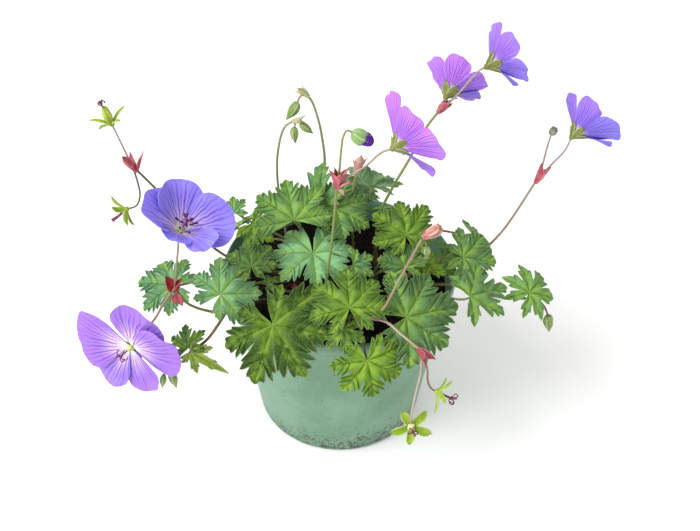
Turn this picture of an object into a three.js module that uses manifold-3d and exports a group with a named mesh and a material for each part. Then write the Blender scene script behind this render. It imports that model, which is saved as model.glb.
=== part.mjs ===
// Hardy geranium (cranesbill) growing in its 13 cm nursery pot.
// Millimetres, +Z up. The origin is the middle of the pot's underside and the plant's front is -Y.
// Leaves, petals and sepals are thin closed blades; petioles and stems are tapered tubes.
// Every leafy shoot, flowering stem, ring of petals and flower centre is one closed body.
import * as THREE from 'three';
import { mergeVertices } from 'three/addons/utils/BufferGeometryUtils.js';
import Module from 'manifold-3d';

const wasm = await Module();
wasm.setup();

// ---- Driving dimensions ----------------------------------------------------------------------

const POT = {
  height: 102, rimRadius: 65, rimHeight: 7, rimStep: 2.2,
  baseRadius: 47.5, cornerRadius: 3, wall: 1.3, sides: 32,
  edge: 0.6, lip: 0.5, holeCount: 6, holeRadius: 4.5, holeCircle: 31, holeSides: 8,
};
const SOIL = { top: 90, rings: [30], sides: 24, holeDepth: 11 };
const SOIL_WAVES = { height: 1.2, x: 5.3, y: 6.7, bend: 1.7, bendLength: 9.1 };
const CLEARANCE = 0.3;  // between bodies that touch
const CROWN = { radius: 2.6, rise: 3, sides: 5, seat: 2 };  // petioles start a seat below its top
const PETIOLE = { foot: 1.1, tip: 0.85, sides: 3, steps: 4, inset: 2, back: 0.12 };
const STEM_SIDES = 4;
const STEM_CROWN_RADIUS = 1.9;
const BLADE = { leaf: 0.85, petal: 0.75, sepal: 0.8, bract: 0.8 };  // thickness
const PETAL_COUNT = 5;
const PETAL_HUB = { radius: 2.2, half: 0.5, sides: 6 };
const PETAL = { root: 1.2, twist: 7, channel: 0.5, curl: 0.18 };
const SEPAL = { length: 10, lean: 14, root: 0.17, drop: 1.3 };  // lean = spread beyond the petals'
const COLLAR = { radius: 2.4, half: 0.8, clearance: 0.35 };  // half = half its height at the stem

const DEGREE = Math.PI / 180;

// ---- Materials -------------------------------------------------------------------------------

const plain = (color, roughness) => new THREE.MeshStandardMaterial({ color, roughness, metalness: 0 });
const MATERIALS = {
  pot: plain(0x7fae98, 0.5),
  soil: plain(0x2a1f1a, 0.95),
  leaf: plain(0x4f8f3a, 0.6),
  stem: plain(0x7f7a45, 0.6),
  bract: plain(0xb8404f, 0.6),
  petal: plain(0x9a7bf0, 0.55),
  centre: plain(0x3c1a3c, 0.6),
};

// ---- Leaf shapes -----------------------------------------------------------------------------

// Half of a lobe's edge from its tip to its shoulder, as [along, across] shares of the lobe's reach.
const LOBE_EDGES = {
  toothed: [[1, 0], [0.86, 0.1], [0.88, 0.22], [0.62, 0.25]],
  trident: [[1, 0], [0.78, 0.11], [0.74, 0.25]],
  pointed: [[1, 0], [0.66, 0.2]],
  spear: [[1, 0], [0.5, 0.12]],
};
const NOTCH_DEPTH = 0.34;  // how near to the petiole the cuts between lobes run
const LOBE_MIDDLE = 0.5;
const SINUS = { gap: 28, reach: 0.16, beside: 0.07 };  // corners behind the outer lobes
const HEEL = [-0.08, 0, 0.03];  // the blade's end behind the petiole

// Lobes from the middle one outwards: angle from the leaf's axis, reach, edge.
const LEAF_SHAPES = {
  broad: [[0, 1, 'toothed'], [48, 0.97, 'trident'], [96, 0.88, 'trident'], [140, 0.66, 'pointed']],
  medium: [[0, 1, 'trident'], [48, 0.96, 'trident'], [96, 0.86, 'pointed'], [140, 0.62, 'pointed']],
  full: [[0, 0.8, 'toothed'], [50, 0.95, 'trident'], [100, 1, 'trident'], [148, 1, 'pointed']],
  fan: [[0, 1, 'toothed'], [48, 0.97, 'toothed'], [94, 0.85, 'trident']],
  young: [[0, 1, 'trident'], [50, 0.93, 'pointed'], [104, 0.75, 'pointed']],
  star: [[0, 1, 'trident'], [50, 0.95, 'pointed'], [102, 0.9, 'pointed'], [150, 0.8, 'pointed']],
  bracteal: [[0, 1, 'pointed'], [62, 0.8, 'pointed'], [115, 0.5, 'pointed']],
  spear: [[0, 1, 'spear'], [42, 0.5, 'pointed'], [98, 0.32, 'pointed']],
};

// Half of a sepal's edge as [along, across] shares of its length.
const SEPAL_EDGE = [[0.42, 0.2]];

// Half outline of a petal as [along, half width] shares of its length, its tip and its midrib.
const PETAL_OUTLINE = {
  edge: [[0, 0.06], [0.42, 0.31], [0.74, 0.42], [0.96, 0.27]], tip: 0.97, midrib: [0.35, 0.75],
};

// Half sections of turned bodies as [radius, height] from low to high. Those of buds and tips are shares
// of the radius and the length.
const BUD_SECTIONS = {
  blunt: [[0, -0.05], [0.6, 0.02], [1, 0.5], [0.9, 1], [0, 1]],
  pointed: [[0, -0.05], [0.6, 0.03], [1, 0.38], [0.6, 0.75], [0, 1]],
};
const TIP_SECTION = [[0, 0], [0.8, 0.04], [1, 0.35], [0.7, 0.7], [0, 1]];
const PISTIL = [[0, 0.85], [1.3, 0.85], [0.6, 3.4], [0.6, 9], [0, 9]];
const STIGMAS = { first: 36, length: 3.2, rise: 30, along: 8.7 };
const STAMEN = { from: [0.5, 1.6], to: [3, 8], radii: [0.45, 0.9] };  // ends as [outwards, along the axis]
const OVARY = { foot: -0.2, belly: 1.6, neck: 3.5, style: 0.5 };  // heights, and the style's radius

// ---- The plant -------------------------------------------------------------------------------
// A leaf: at = where the petiole meets the blade, reach = length of its middle lobe,
// faces = [azimuth, elevation] of its upper side (azimuth 0 is the front, 90 is +X),
// turn = angle of the middle lobe from straight downhill, seen from above the blade.

const SHOOTS = {
  shoot_front_left: {
    foot: [-12, -22],
    leaves: [
      { at: [-34, -62, 115], reach: 33, faces: [-15, 42], turn: 40, shape: 'broad', droop: 0.12 },
      { at: [-38, -35, 118], reach: 9, faces: [-20, 70], turn: 140, shape: 'bracteal' },
    ],
  },
  shoot_left: {
    foot: [-24, -8],
    leaves: [
      { at: [-62, -43, 118.5], reach: 22, faces: [-15, 50], turn: 150, shape: 'broad' },
      { at: [-91.5, -13, 98.5], reach: 21.5, faces: [-20, 70], turn: 276, shape: 'broad', arch: 0.62,
        under: 0.1 },
      { at: [-46, -33, 129], reach: 16, faces: [-10, 58], turn: 199, shape: 'medium' },
    ],
  },
  shoot_centre: {
    foot: [-6, -10],
    leaves: [
      { at: [-14, -24, 130], reach: 25, faces: [0, 80], turn: 4, shape: 'full' },
      { at: [7, -29, 127], reach: 13, faces: [0, 60], turn: 64, shape: 'young' },
    ],
  },
  shoot_top_left: {
    foot: [-16, 6],
    leaves: [
      { at: [-24, -13, 144], reach: 24, faces: [-10, 45], turn: 197, shape: 'fan', crease: 0.2 },
      { at: [-58, 10, 131], reach: 11, faces: [-30, 45], turn: 213, shape: 'young' },
      { at: [-47, -1, 132], reach: 16, faces: [-20, 50], turn: 64, shape: 'young' },
    ],
  },
  shoot_top: {
    foot: [4, 6],
    leaves: [
      { at: [-2, -6, 146], reach: 21, faces: [15, 60], turn: 100, shape: 'broad' },
      { at: [-10, 1, 144], reach: 22, faces: [-30, 30], turn: 195, shape: 'bracteal', crease: 0.5 },
    ],
  },
  shoot_right: {
    foot: [18, -6],
    leaves: [
      { at: [35, -18, 138], reach: 21, faces: [10, 50], turn: 182, shape: 'broad' },
      { at: [34, -30, 126], reach: 16, faces: [10, 55], turn: 198, shape: 'medium', crease: 0.15 },
      { at: [45, -23, 122], reach: 14, faces: [30, 50], turn: 46, shape: 'bracteal' },
    ],
  },
  shoot_front_right: {
    foot: [16, -26],
    leaves: [
      { at: [34, -60, 118], reach: 29, faces: [15, 45], turn: 92, shape: 'broad', droop: 0.1 },
    ],
  },
  shoot_far_right: {
    foot: [28, -14],
    leaves: [
      { at: [69, -36, 111], reach: 23, faces: [30, 72], turn: 84, shape: 'young' },
      { at: [66.8, -12, 118], reach: 20, faces: [30, 55], turn: 65, shape: 'medium' },
      { at: [56, -10, 116], reach: 15, faces: [20, 62], turn: 60, shape: 'young' },
    ],
  },
  shoot_back_left: {
    foot: [-20, 20],
    leaves: [
      { at: [-28, 34, 122], reach: 22, faces: [-150, 60], turn: 10, shape: 'medium' },
      { at: [-58, 30, 106], reach: 20, faces: [-120, 55], turn: 350, shape: 'young' },
      { at: [-34, 62, 103], reach: 23, faces: [-155, 45], turn: 5, shape: 'medium', arch: 0.7, under: 0.08 },
    ],
  },
  shoot_back: {
    foot: [0, 24],
    leaves: [
      { at: [2, 42, 118], reach: 22, faces: [185, 62], turn: 0, shape: 'medium' },
      { at: [4, 70, 102], reach: 24, faces: [178, 42], turn: 350, shape: 'medium', arch: 0.75, under: 0.08 },
      { at: [18, 16.6, 143], reach: 22, faces: [170, 27], turn: 155, shape: 'medium', droop: 0.05,
        under: 0.15 },
    ],
  },
  shoot_back_right: {
    foot: [20, 18],
    leaves: [
      { at: [35, 33, 113], reach: 19, faces: [140, 60], turn: 15, shape: 'medium' },
      { at: [76, 24, 105], reach: 20, faces: [105, 50], turn: 350, shape: 'young', arch: 0.65, under: 0.08 },
    ],
  },
};

// A flowering stem: foot = where it stands in the soil, routes = stem and pedicels as paths with
// [start, end] radii. A route may end in a bloom, a bud or a seed head; faces = the way that it opens,
// as [azimuth, elevation]. Leaves grow from a point of the stem.

const STEMS = {
  stem_centre: {
    foot: [-8, -38],
    routes: [
      { path: [[-8, -38, 91], [-6.5, -38.9, 125], [-3.9, -36, 148], [-1, -32, 183]], girth: [0.95, 0.9] },
      { path: [[-1, -32, 182], [0, -32, 190], [1, -31, 201], [2, -31, 210], [5, -31, 213.5], [8, -31, 211]],
        girth: [0.8, 0.65], bud: { faces: [80, -30], length: 7.7, radius: 4, blunt: true } },
      { path: [[-1, -32, 182], [6, -32, 187], [13, -33, 193], [20, -35, 202]], girth: [0.8, 0.7],
        bloom: 'centre' },
    ],
  },
  stem_right: {
    foot: [20, 4],
    routes: [
      { path: [[20, 4, 91], [20, 5, 115], [22, 6, 134], [29, 7, 152], [37, 9, 168], [45, 10, 187],
        [53, 10, 200]], girth: [1.2, 0.9] },
      { path: [[53, 10, 199], [54, 10, 202]], girth: [0.8, 0.7], bloom: 'right_middle' },
      { path: [[53, 10, 199], [59, 5.5, 209], [66, 7, 218], [70, 9, 221.5]], girth: [0.75, 0.65],
        bloom: 'right_top' },
    ],
  },
  stem_far_right: {
    foot: [34, -2],
    routes: [
      { path: [[34, -2, 91], [46, 0, 101], [62, 3, 107], [78, 6, 107.5], [88, 4, 121], [106, 5, 160]],
        girth: [1.2, 0.85] },
      { path: [[106, 5, 159], [112, 5, 168], [117, 4.5, 176]], girth: [0.75, 0.65], bloom: 'far_right' },
      { path: [[106, 5, 159], [107, 5, 170], [108, 5, 179], [109, 5, 186]], girth: [0.75, 0.65],
        bud: { faces: [60, 70], length: 4.5, radius: 2.2 } },
    ],
  },
  stem_back_left: {
    foot: [-26, 8],
    routes: [
      { path: [[-26, 8, 91], [-31, 16, 120], [-34, 21, 146], [-33, 22, 165], [-29, 21, 180], [-25, 20, 184]],
        girth: [1.1, 0.75] },
      { path: [[-25.5, 20, 184], [-23.5, 20, 183], [-24, 20, 180]], girth: [0.7, 0.65],
        bud: { faces: [20, -80], length: 9, radius: 2.2 } },
      { path: [[-25.5, 20, 184], [-22, 20, 184.5], [-20.5, 20, 182.5]], girth: [0.7, 0.65],
        bud: { faces: [75, -35], length: 8.5, radius: 2.1 } },
    ],
  },
  stem_back: {
    foot: [-10, 14],
    routes: [
      { path: [[-10, 14, 91], [-9, 19, 130], [-8, 19.5, 160], [-9, 17, 174], [-11, 14, 189], [-15, 12, 203],
        [-18.5, 11, 206], [-20.5, 11, 204], [-21.5, 11, 201]], girth: [1.1, 0.7],
        bud: { faces: [-60, -50], length: 10.5, radius: 2.8 } },
    ],
  },
  stem_short: {
    foot: [9, 11],
    routes: [{ path: [[9, 11, 91], [7, 5, 125], [7, 4, 150], [10, 6, 165]], girth: [1, 0.8] }],
  },
  stem_far_left: {
    foot: [-30, 0],
    routes: [
      { path: [[-30, 0, 91], [-40, -4, 106], [-56, -8, 112], [-67, -9, 121], [-79, -10, 138],
        [-95, -10, 162], [-105.5, -10, 176.5]], girth: [1.2, 0.85] },
      { path: [[-105.5, -10, 175.5], [-109, -10, 188], [-113, -10, 202]], girth: [0.75, 0.65],
        seedHead: { faces: [-80, 72], turn: 60, lean: 45, length: 11, beak: 12, radius: 2.6 } },
      { path: [[-105.5, -10, 175.5], [-104, -11, 168], [-103.3, -12.5, 160], [-105.5, -14, 154.5],
        [-111, -14, 152]], girth: [0.7, 0.65],
        seedHead: { faces: [-75, -35], turn: 10, lean: 60, length: 9, beak: 10, radius: 1.8 } },
    ],
  },
  stem_left: {
    foot: [-30, -20],
    routes: [
      { path: [[-30, -20, 91], [-40, -29, 102], [-52, -39, 107], [-61, -46, 107]], girth: [1.5, 1.3] },
      { path: [[-60, -45, 107], [-67, -46, 109], [-75, -47, 113], [-80, -48, 118], [-84, -50, 130]],
        girth: [1.1, 0.9] },
      { path: [[-84, -50, 129], [-82, -51, 143], [-80, -51, 155]], girth: [0.8, 0.7], bloom: 'upper_left' },
      { path: [[-84, -50, 129], [-89, -53, 123], [-95, -57, 114], [-101, -61, 108]], girth: [0.8, 0.7],
        bloom: 'lower_left' },
      { path: [[-60, -45, 107], [-65, -50, 101], [-70, -54, 96], [-79, -57, 90]], girth: [1.2, 1] },
      { path: [[-78, -57, 90.5], [-86, -57, 84], [-90, -57, 76]], girth: [0.85, 0.65],
        bud: { faces: [60, -80], length: 12, radius: 2.4 } },
      { path: [[-86, -57, 84], [-92, -56, 79], [-94.5, -56, 72]], girth: [0.7, 0.65],
        bud: { faces: [-60, -78], length: 9, radius: 1.8 } },
    ],
    leaves: [
      { from: [-78, -57, 90.5], at: [-79, -60, 96], reach: 13, faces: [-20, 45], turn: 205, shape: 'young' },
      { from: [-76, -56.5, 91.5], at: [-77.4, -62, 95], reach: 23, faces: [10, 40], turn: 53, shape: 'spear',
        droop: 0.06 },
    ],
  },
  stem_front: {
    foot: [4, -38],
    routes: [
      { path: [[4, -38, 91], [5, -46, 105], [7, -54, 113], [9, -58, 116]], girth: [1.5, 1.3] },
      { path: [[8.5, -57, 115.5], [16, -64, 121], [22, -64, 127.5], [30, -55, 139], [41, -44, 156]],
        girth: [0.9, 0.8] },
      { path: [[8.5, -57, 115.5], [18, -62, 118.5], [24, -65, 119], [31, -70, 115.5], [37, -74, 112.5],
        [43, -78, 109.5]], girth: [1, 0.85] },
      { path: [[42, -77.3, 110], [41, -80, 96], [39, -82, 84], [37.5, -83, 70], [38, -82.5, 62]],
        girth: [0.85, 0.7],
        seedHead: { faces: [5, 20], turn: 145, lean: 74, length: 10.5, beak: 8, radius: 1.9 } },
      { path: [[42, -77.3, 110], [44.5, -80, 100], [45, -81, 93], [47, -82, 88.5], [50, -82, 86.5]],
        girth: [0.75, 0.65],
        seedHead: { faces: [80, -25], turn: 175, lean: 60, length: 10.5, beak: 9, radius: 1.6 } },
      { path: [[39, -44.7, 153], [42.5, -44, 154.5], [43.5, -44, 151]], girth: [0.7, 0.65],
        bud: { faces: [90, -85], length: 7, radius: 2.2 } },
    ],
    leaves: [
      { from: [8, -56, 115], at: [5, -63, 127], reach: 24, faces: [-4, 64], turn: 189, shape: 'broad' },
      { from: [7.5, -55, 114], at: [2, -67, 116], reach: 14, faces: [0, 50], turn: 10, shape: 'young' },
      { from: [9, -58, 115], at: [14, -77, 104], reach: 23, faces: [12, 22], turn: 6, shape: 'broad' },
    ],
  },
  stem_low_right: {
    foot: [32, -18],
    routes: [
      { path: [[32, -18, 91], [44, -20, 103], [60, -22, 107], [78, -23, 101], [94, -22, 97], [103, -22, 97]],
        girth: [1.2, 0.9] },
      { path: [[102, -22, 97], [108, -22, 96], [112, -22, 92], [115.5, -22, 84]], girth: [0.75, 0.65],
        bud: { faces: [90, -82], length: 12, radius: 2.8 } },
    ],
    leaves: [
      { from: [100, -22, 97], at: [103, -22, 101], reach: 19, faces: [40, 50], turn: 105, shape: 'star' },
    ],
  },
};

// A bloom: at = middle of its throat, faces = its axis, open = rise of the petals from a flat flower,
// petals = [turn round the axis, share of the bloom's length, share of the usual width] of each.
const evenly = (first) => Array.from({ length: PETAL_COUNT }, (_, i) => first + (360 * i) / PETAL_COUNT);
const NARROW = 0.86;
const evenPetals = (first) => evenly(first).map((turn) => [turn, 1, NARROW]);

const BLOOMS = {
  lower_left: { at: [-106, -70, 107], faces: [-28, 2], open: 14, length: 29,
    petals: [[162, 0.96], [271, 1.12], [320, 1.12], [20, 0.87], [108, 1.06]] },
  upper_left: { at: [-78, -50, 166], faces: [63, 58], open: 34, length: 25,
    petals: [[135, 0.96], [205, 0.95], [275, 0.62], [345, 0.8], [52, 1.05]] },
  centre: { at: [27, -37, 207], faces: [125, 11], petals: evenPetals(195), open: 38, length: 23 },
  right_middle: { at: [55, 10, 207.5], faces: [151, 14], petals: evenPetals(176), open: 50, length: 20 },
  right_top: { at: [75.5, 11.5, 223], faces: [120, 10], petals: evenPetals(204), open: 46, length: 19.5 },
  far_right: { at: [121.5, 5.5, 186], faces: [129, 21], petals: evenPetals(198), open: 48, length: 21.5 },
};

// Red bracts in a collar below the fork of a stem: at and faces = place and run of the stem there,
// bracts = [turn round the stem, lean from it, length].
const BRACTS = {
  bracts_centre: { stem: 'stem_centre', at: [-1.2, -32.2, 179], faces: [100, 84],
    bracts: [[60, 60, 7], [122, 28, 11], [198, 28, 12], [278, 28, 12], [342, 40, 11]] },
  bracts_right: { stem: 'stem_right', at: [50.5, 10, 195.8], faces: [91, 58],
    bracts: [[20, 30, 9], [110, 28, 9], [200, 28, 9], [290, 28, 9.5]] },
  bracts_far_right: { stem: 'stem_far_right', at: [104.2, 4.6, 155.3], faces: [105, 64],
    bracts: [[107, 28, 8], [185, 25, 13], [287, 25, 13]] },
  bracts_short: { stem: 'stem_short', at: [9, 5.2, 161.5], faces: [120, 76],
    bracts: [[61, 30, 9], [180, 30, 9], [300, 28, 11]] },
  bracts_far_left: { stem: 'stem_far_left', at: [-103.6, -10, 173.4], faces: [-90, 58],
    bracts: [[115, 26, 14], [185, 45, 12], [262, 30, 11]] },
  bracts_left: { stem: 'stem_left', at: [-83.3, -49.6, 126], faces: [-60, 68],
    bracts: [[72, 132, 7], [157, 34, 10], [269, 28, 10.5]] },
  bracts_front: { stem: 'stem_front', at: [39.5, -75.7, 111.2], faces: [56, -22],
    bracts: [[0, 40, 11], [110, 50, 9], [250, 40, 9]] },
};

// Ends of stems in a colour of their own: the petals of an opening bud and a closed pink calyx.
const TIPS = {
  bud_petals: { at: [14.9, -32.2, 206.9], faces: [80, -30], length: 5.5, radius: 3.4, material: 'petal' },
  calyx_pink: { at: [41.7, -43.8, 157], faces: [90, 38], length: 11, radius: 3.4, material: 'bract' },
};

// ---- Vector helpers --------------------------------------------------------------------------

const vec = (triple) => new THREE.Vector3(...triple);
const UP = vec([0, 0, 1]);

/** Unit vector that points to an azimuth (0 = front, 90 = +X) and an elevation, in degrees. */
function direction([azimuth, elevation]) {
  const flat = Math.cos(elevation * DEGREE);
  return new THREE.Vector3(
    flat * Math.sin(azimuth * DEGREE), -flat * Math.cos(azimuth * DEGREE), Math.sin(elevation * DEGREE));
}

/** Placement of a blade: x along its middle, z out of its upper side. */
function bladeFrame(at, faces, turn) {
  const normal = direction(faces);
  const downhill = direction([faces[0], faces[1] - 90]);
  const along = downhill.applyAxisAngle(normal, turn * DEGREE);
  const across = new THREE.Vector3().crossVectors(normal, along);
  return new THREE.Matrix4().makeBasis(along, across, normal).setPosition(vec(at));
}

// ---- Solids ----------------------------------------------------------------------------------

/** Closed solid from points and the triangles between them. */
function solidOf(points, triangles) {
  return new wasm.Manifold(new wasm.Mesh({
    numProp: 3,
    vertProperties: new Float32Array(points.flatMap((p) => [p.x, p.y, p.z])),
    triVerts: new Uint32Array(triangles.flat()),
  }));
}

/** Closed solid from a three.js geometry, without the collapsed triangles at its poles. */
function solidOfGeometry(geometry) {
  geometry.deleteAttribute('normal');
  geometry.deleteAttribute('uv');
  const merged = mergeVertices(geometry, 1e-4);
  const position = merged.getAttribute('position');
  const points = [];
  for (let i = 0; i < position.count; i++) points.push(new THREE.Vector3().fromBufferAttribute(position, i));
  const triangles = [];
  const index = merged.getIndex();
  for (let i = 0; i < index.count; i += 3) {
    const [a, b, c] = [index.getX(i), index.getX(i + 1), index.getX(i + 2)];
    if (a !== b && b !== c && c !== a) triangles.push([a, b, c]);
  }
  return solidOf(points, triangles);
}

const join = (solids) => solids.reduce((whole, solid) => whole.add(solid));

/** Body turned about the Z axis from a profile of [radius, z] points that starts low, then placed. */
function turned(profile, sides, frame = new THREE.Matrix4()) {
  const geometry = new THREE.LatheGeometry(profile.map(([r, z]) => new THREE.Vector2(r, z)), sides);
  return solidOfGeometry(geometry.rotateX(Math.PI / 2).applyMatrix4(frame));
}

/** Upright cylinder between two heights. */
function post(x, y, low, high, radius, sides) {
  const geometry = new THREE.CylinderGeometry(radius, radius, high - low, sides);
  return solidOfGeometry(geometry.rotateX(Math.PI / 2).translate(x, y, (low + high) / 2));
}

/** Closed tapered tube along a curve. */
function tube(curve, startRadius, endRadius, sides, steps) {
  const { normals, binormals } = curve.computeFrenetFrames(steps, false);
  const points = [];
  for (let i = 0; i <= steps; i++) {
    const middle = curve.getPointAt(i / steps);
    const radius = THREE.MathUtils.lerp(startRadius, endRadius, i / steps);
    for (let j = 0; j < sides; j++) {
      const angle = (2 * Math.PI * j) / sides;
      points.push(middle.clone()
        .addScaledVector(normals[i], radius * Math.cos(angle))
        .addScaledVector(binormals[i], radius * Math.sin(angle)));
    }
  }
  const triangles = [];
  for (let i = 0; i < steps; i++) {
    for (let j = 0; j < sides; j++) {
      const [a, b] = [i * sides + j, i * sides + ((j + 1) % sides)];
      triangles.push([a, b, b + sides], [a, b + sides, a + sides]);
    }
  }
  const last = steps * sides;
  for (let j = 1; j < sides - 1; j++) triangles.push([0, j + 1, j], [last, last + j, last + j + 1]);
  return solidOf(points, triangles);
}

/** Closed blade: a flat layout of points with its rim first, thickened along z, then placed.
 *  A point is [x, y, z] or [x, y, z, half of its own thickness]. */
function blade(layout, thickness, frame) {
  const { points, rimCount, triangles } = layout;
  const count = points.length;
  const placed = [1, -1].flatMap((side) => points.map(([x, y, z, half = thickness / 2]) => (
    new THREE.Vector3(x, y, z + side * half).applyMatrix4(frame))));
  const faces = triangles.flatMap(([a, b, c]) => [[a, b, c], [count + a, count + c, count + b]]);
  for (let i = 0; i < rimCount; i++) {
    const next = (i + 1) % rimCount;
    faces.push([count + i, count + next, next], [count + i, next, i]);
  }
  return solidOf(placed, faces);
}

// ---- Leaves ----------------------------------------------------------------------------------

/** All lobes of a leaf shape in order round the petiole, each with its signed angle. */
function lobesInOrder(lobes) {
  const right = lobes.map(([angle, reach, edge]) => ({ angle, reach, edge: LOBE_EDGES[edge] }));
  const left = right.slice(1).reverse().map((lobe) => ({ ...lobe, angle: -lobe.angle }));
  return [...left, ...right];
}

/** Flat layout of a unit leaf: x, y and how far each point lies beside its lobe's midrib. */
function leafPlan(shape) {
  const lobes = lobesInOrder(shape);
  const rim = [];
  const fans = [];
  const polar = (radius, angle, beside) => [
    radius * Math.cos(angle * DEGREE), radius * Math.sin(angle * DEGREE), beside];
  const cut = (angle, halfGap, reach) => polar(
    NOTCH_DEPTH * reach, angle, NOTCH_DEPTH * reach * Math.sin(halfGap * DEGREE));
  const sinusAngle = lobes.at(-1).angle + SINUS.gap;
  rim.push(HEEL, polar(SINUS.reach, -sinusAngle, SINUS.beside));
  lobes.forEach((lobe, k) => {
    const first = rim.length - 1;
    const edge = [...lobe.edge.slice(1).reverse().map(([x, y]) => [x, -y]), ...lobe.edge];
    for (const [along, beside] of edge) {
      const radius = Math.hypot(along, beside) * lobe.reach;
      const angle = lobe.angle + Math.atan2(beside, along) / DEGREE;
      rim.push(polar(radius, angle, Math.abs(beside) * lobe.reach));
    }
    const next = lobes[k + 1];
    rim.push(next
      ? cut((lobe.angle + next.angle) / 2, (next.angle - lobe.angle) / 2, (lobe.reach + next.reach) / 2)
      : polar(SINUS.reach, sinusAngle, SINUS.beside));
    fans.push([first, rim.length - 1]);
  });
  const petiolePoint = rim.length;
  const middles = lobes.map((lobe) => polar(LOBE_MIDDLE * lobe.reach, lobe.angle, 0));
  const triangles = [[petiolePoint, rim.length - 1, 0], [petiolePoint, 0, 1]];
  fans.forEach(([first, last], k) => {
    const middle = petiolePoint + 1 + k;
    for (let i = first; i < last; i++) triangles.push([middle, i, i + 1]);
    triangles.push([petiolePoint, first, middle], [petiolePoint, middle, last]);
  });
  return { rimCount: rim.length, triangles, points: [...rim, [0, 0, 0], ...middles] };
}

const LEAF_PLANS = Object.fromEntries(
  Object.entries(LEAF_SHAPES).map(([name, shape]) => [name, leafPlan(shape)]));

/** Leaf blade: each lobe is channelled along its midrib and the tips droop. */
function leafBlade({ at, reach, faces, turn, shape, droop = 0.16, fold = 0.35, crease = 0 }) {
  const plan = LEAF_PLANS[shape];
  const points = plan.points.map(([x, y, beside]) => [
    x * reach, y * reach, reach * (fold * beside - droop * (x * x + y * y) + crease * Math.abs(y))]);
  return blade({ ...plan, points }, BLADE.leaf, bladeFrame(at, faces, turn));
}

/** Petiole from a point on the shoot to the underside of a leaf; arch = its rise, under = its last run. */
function petiole(foot, { at, faces, turn, arch = 0.45, under = 0.3 }) {
  const frame = bladeFrame(at, faces, turn);
  const end = vec([PETIOLE.inset, 0, 0]).applyMatrix4(frame);
  const [along, across, normal] = [new THREE.Vector3(), new THREE.Vector3(), new THREE.Vector3()];
  frame.extractBasis(along, across, normal);
  const span = foot.distanceTo(end);
  const rise = foot.clone().addScaledVector(UP, arch * span);
  const approach = end.clone()
    .addScaledVector(normal, -under * span)
    .addScaledVector(along, -PETIOLE.back * span);
  const curve = new THREE.CubicBezierCurve3(foot, rise, approach, end);
  return tube(curve, PETIOLE.foot, PETIOLE.tip, PETIOLE.sides, PETIOLE.steps);
}

/** Short crown stub that stands in the soil. */
const crown = ([x, y], radius = CROWN.radius) => post(
  x, y, SOIL.top - SOIL.holeDepth + CLEARANCE, SOIL.top + CROWN.rise, radius, CROWN.sides);

/** Clump of leaves on one crown. */
function leafyShoot({ foot, leaves }) {
  const base = new THREE.Vector3(foot[0], foot[1], SOIL.top + CROWN.rise - CROWN.seat);
  return join([crown(foot), ...leaves.flatMap((leaf) => [petiole(base, leaf), leafBlade(leaf)])]);
}

// ---- Flowers, buds and bracts ----------------------------------------------------------------

/** Flat layout of a unit petal with a midrib: edge = [along, half width] from base to tip. */
function petalPlan({ edge, tip, midrib }) {
  const rim = [...edge.map(([x, y]) => [x, -y]), [tip, 0], ...[...edge].reverse()];
  const rib = rim.map(([x]) => rim.length + midrib.reduce(
    (best, mid, i) => (Math.abs(mid - x) < Math.abs(midrib[best] - x) ? i : best), 0));
  const triangles = rim.flatMap((_, i) => {
    const next = (i + 1) % rim.length;
    const fan = [[i, next, rib[next]]];
    return rib[i] === rib[next] ? fan : [...fan, [i, rib[next], rib[i]]];
  });
  return { rimCount: rim.length, triangles, points: [...rim, ...midrib.map((x) => [x, 0])] };
}

const PETAL_PLAN = petalPlan(PETAL_OUTLINE);

/** Petal: channelled along its middle, its tip curls back, and it overlaps the next one by its twist. */
function petal({ at, faces, open, length }, [turn, size = 1, width = 1]) {
  const reach = size * length;
  const points = PETAL_PLAN.points.map(([x, y]) => [
    x * reach, y * width * reach, reach * (PETAL.channel * y * y - PETAL.curl * x * x)]);
  const frame = bladeFrame(at, faces, turn)
    .multiply(new THREE.Matrix4().makeTranslation(PETAL.root, 0, 0))
    .multiply(new THREE.Matrix4().makeRotationY(-open * DEGREE))
    .multiply(new THREE.Matrix4().makeRotationX(PETAL.twist * DEGREE));
  return blade({ ...PETAL_PLAN, points }, BLADE.petal, frame);
}

/** Ring of petals on a small hub. */
function petals(bloom) {
  const { radius, half, sides } = PETAL_HUB;
  const hub = turned([[0, -half], [radius, -half], [radius, half], [0, half]], sides,
    bladeFrame(bloom.at, bloom.faces, 0));
  return join([hub, ...bloom.petals.map((entry) => petal(bloom, entry))]);
}

/** Thin ray between two points given as [outwards, along the axis]; it widens to a knob. */
function ray({ at, faces }, turn, from, to, [startRadius, endRadius]) {
  const frame = bladeFrame(at, faces, turn);
  const [start, end] = [from, to].map(([out, along]) => vec([out, 0, along]).applyMatrix4(frame));
  return tube(new THREE.LineCurve3(start, end), startRadius, endRadius, 3, 1);
}

/** Flat layout of a star: arms = [turn, length] in order, edge = half of a pointed arm from root to tip. */
function starPlan(arms, root, edge) {
  const polar = (radius, angle) => [radius * Math.cos(angle * DEGREE), radius * Math.sin(angle * DEGREE)];
  const rim = [];
  const triangles = [];
  const perArm = 2 * edge.length + 2;
  const count = perArm * arms.length;
  arms.forEach(([turn, length], k) => {
    const before = arms.at(k - 1)[0] - (k === 0 ? 360 : 0);
    const side = (sign) => edge.map(([along, across]) => polar(
      length * Math.hypot(along, across), turn + (sign * Math.atan2(across, along)) / DEGREE));
    rim.push(polar(root, (before + turn) / 2), ...side(-1), polar(length, turn), ...side(1).reverse());
    const [first, next] = [k * perArm, ((k + 1) * perArm) % count];
    triangles.push([count, first, next]);
    for (let i = 0; i <= edge.length; i++) {
      const [low, high] = [first + i, i === 0 ? next : first + perArm - i];
      triangles.push([low, low + 1, high]);
      if (i < edge.length) triangles.push([low + 1, first + perArm - 1 - i, high]);
    }
  });
  return { rimCount: count, triangles, points: [...rim, [0, 0]] };
}

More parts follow.
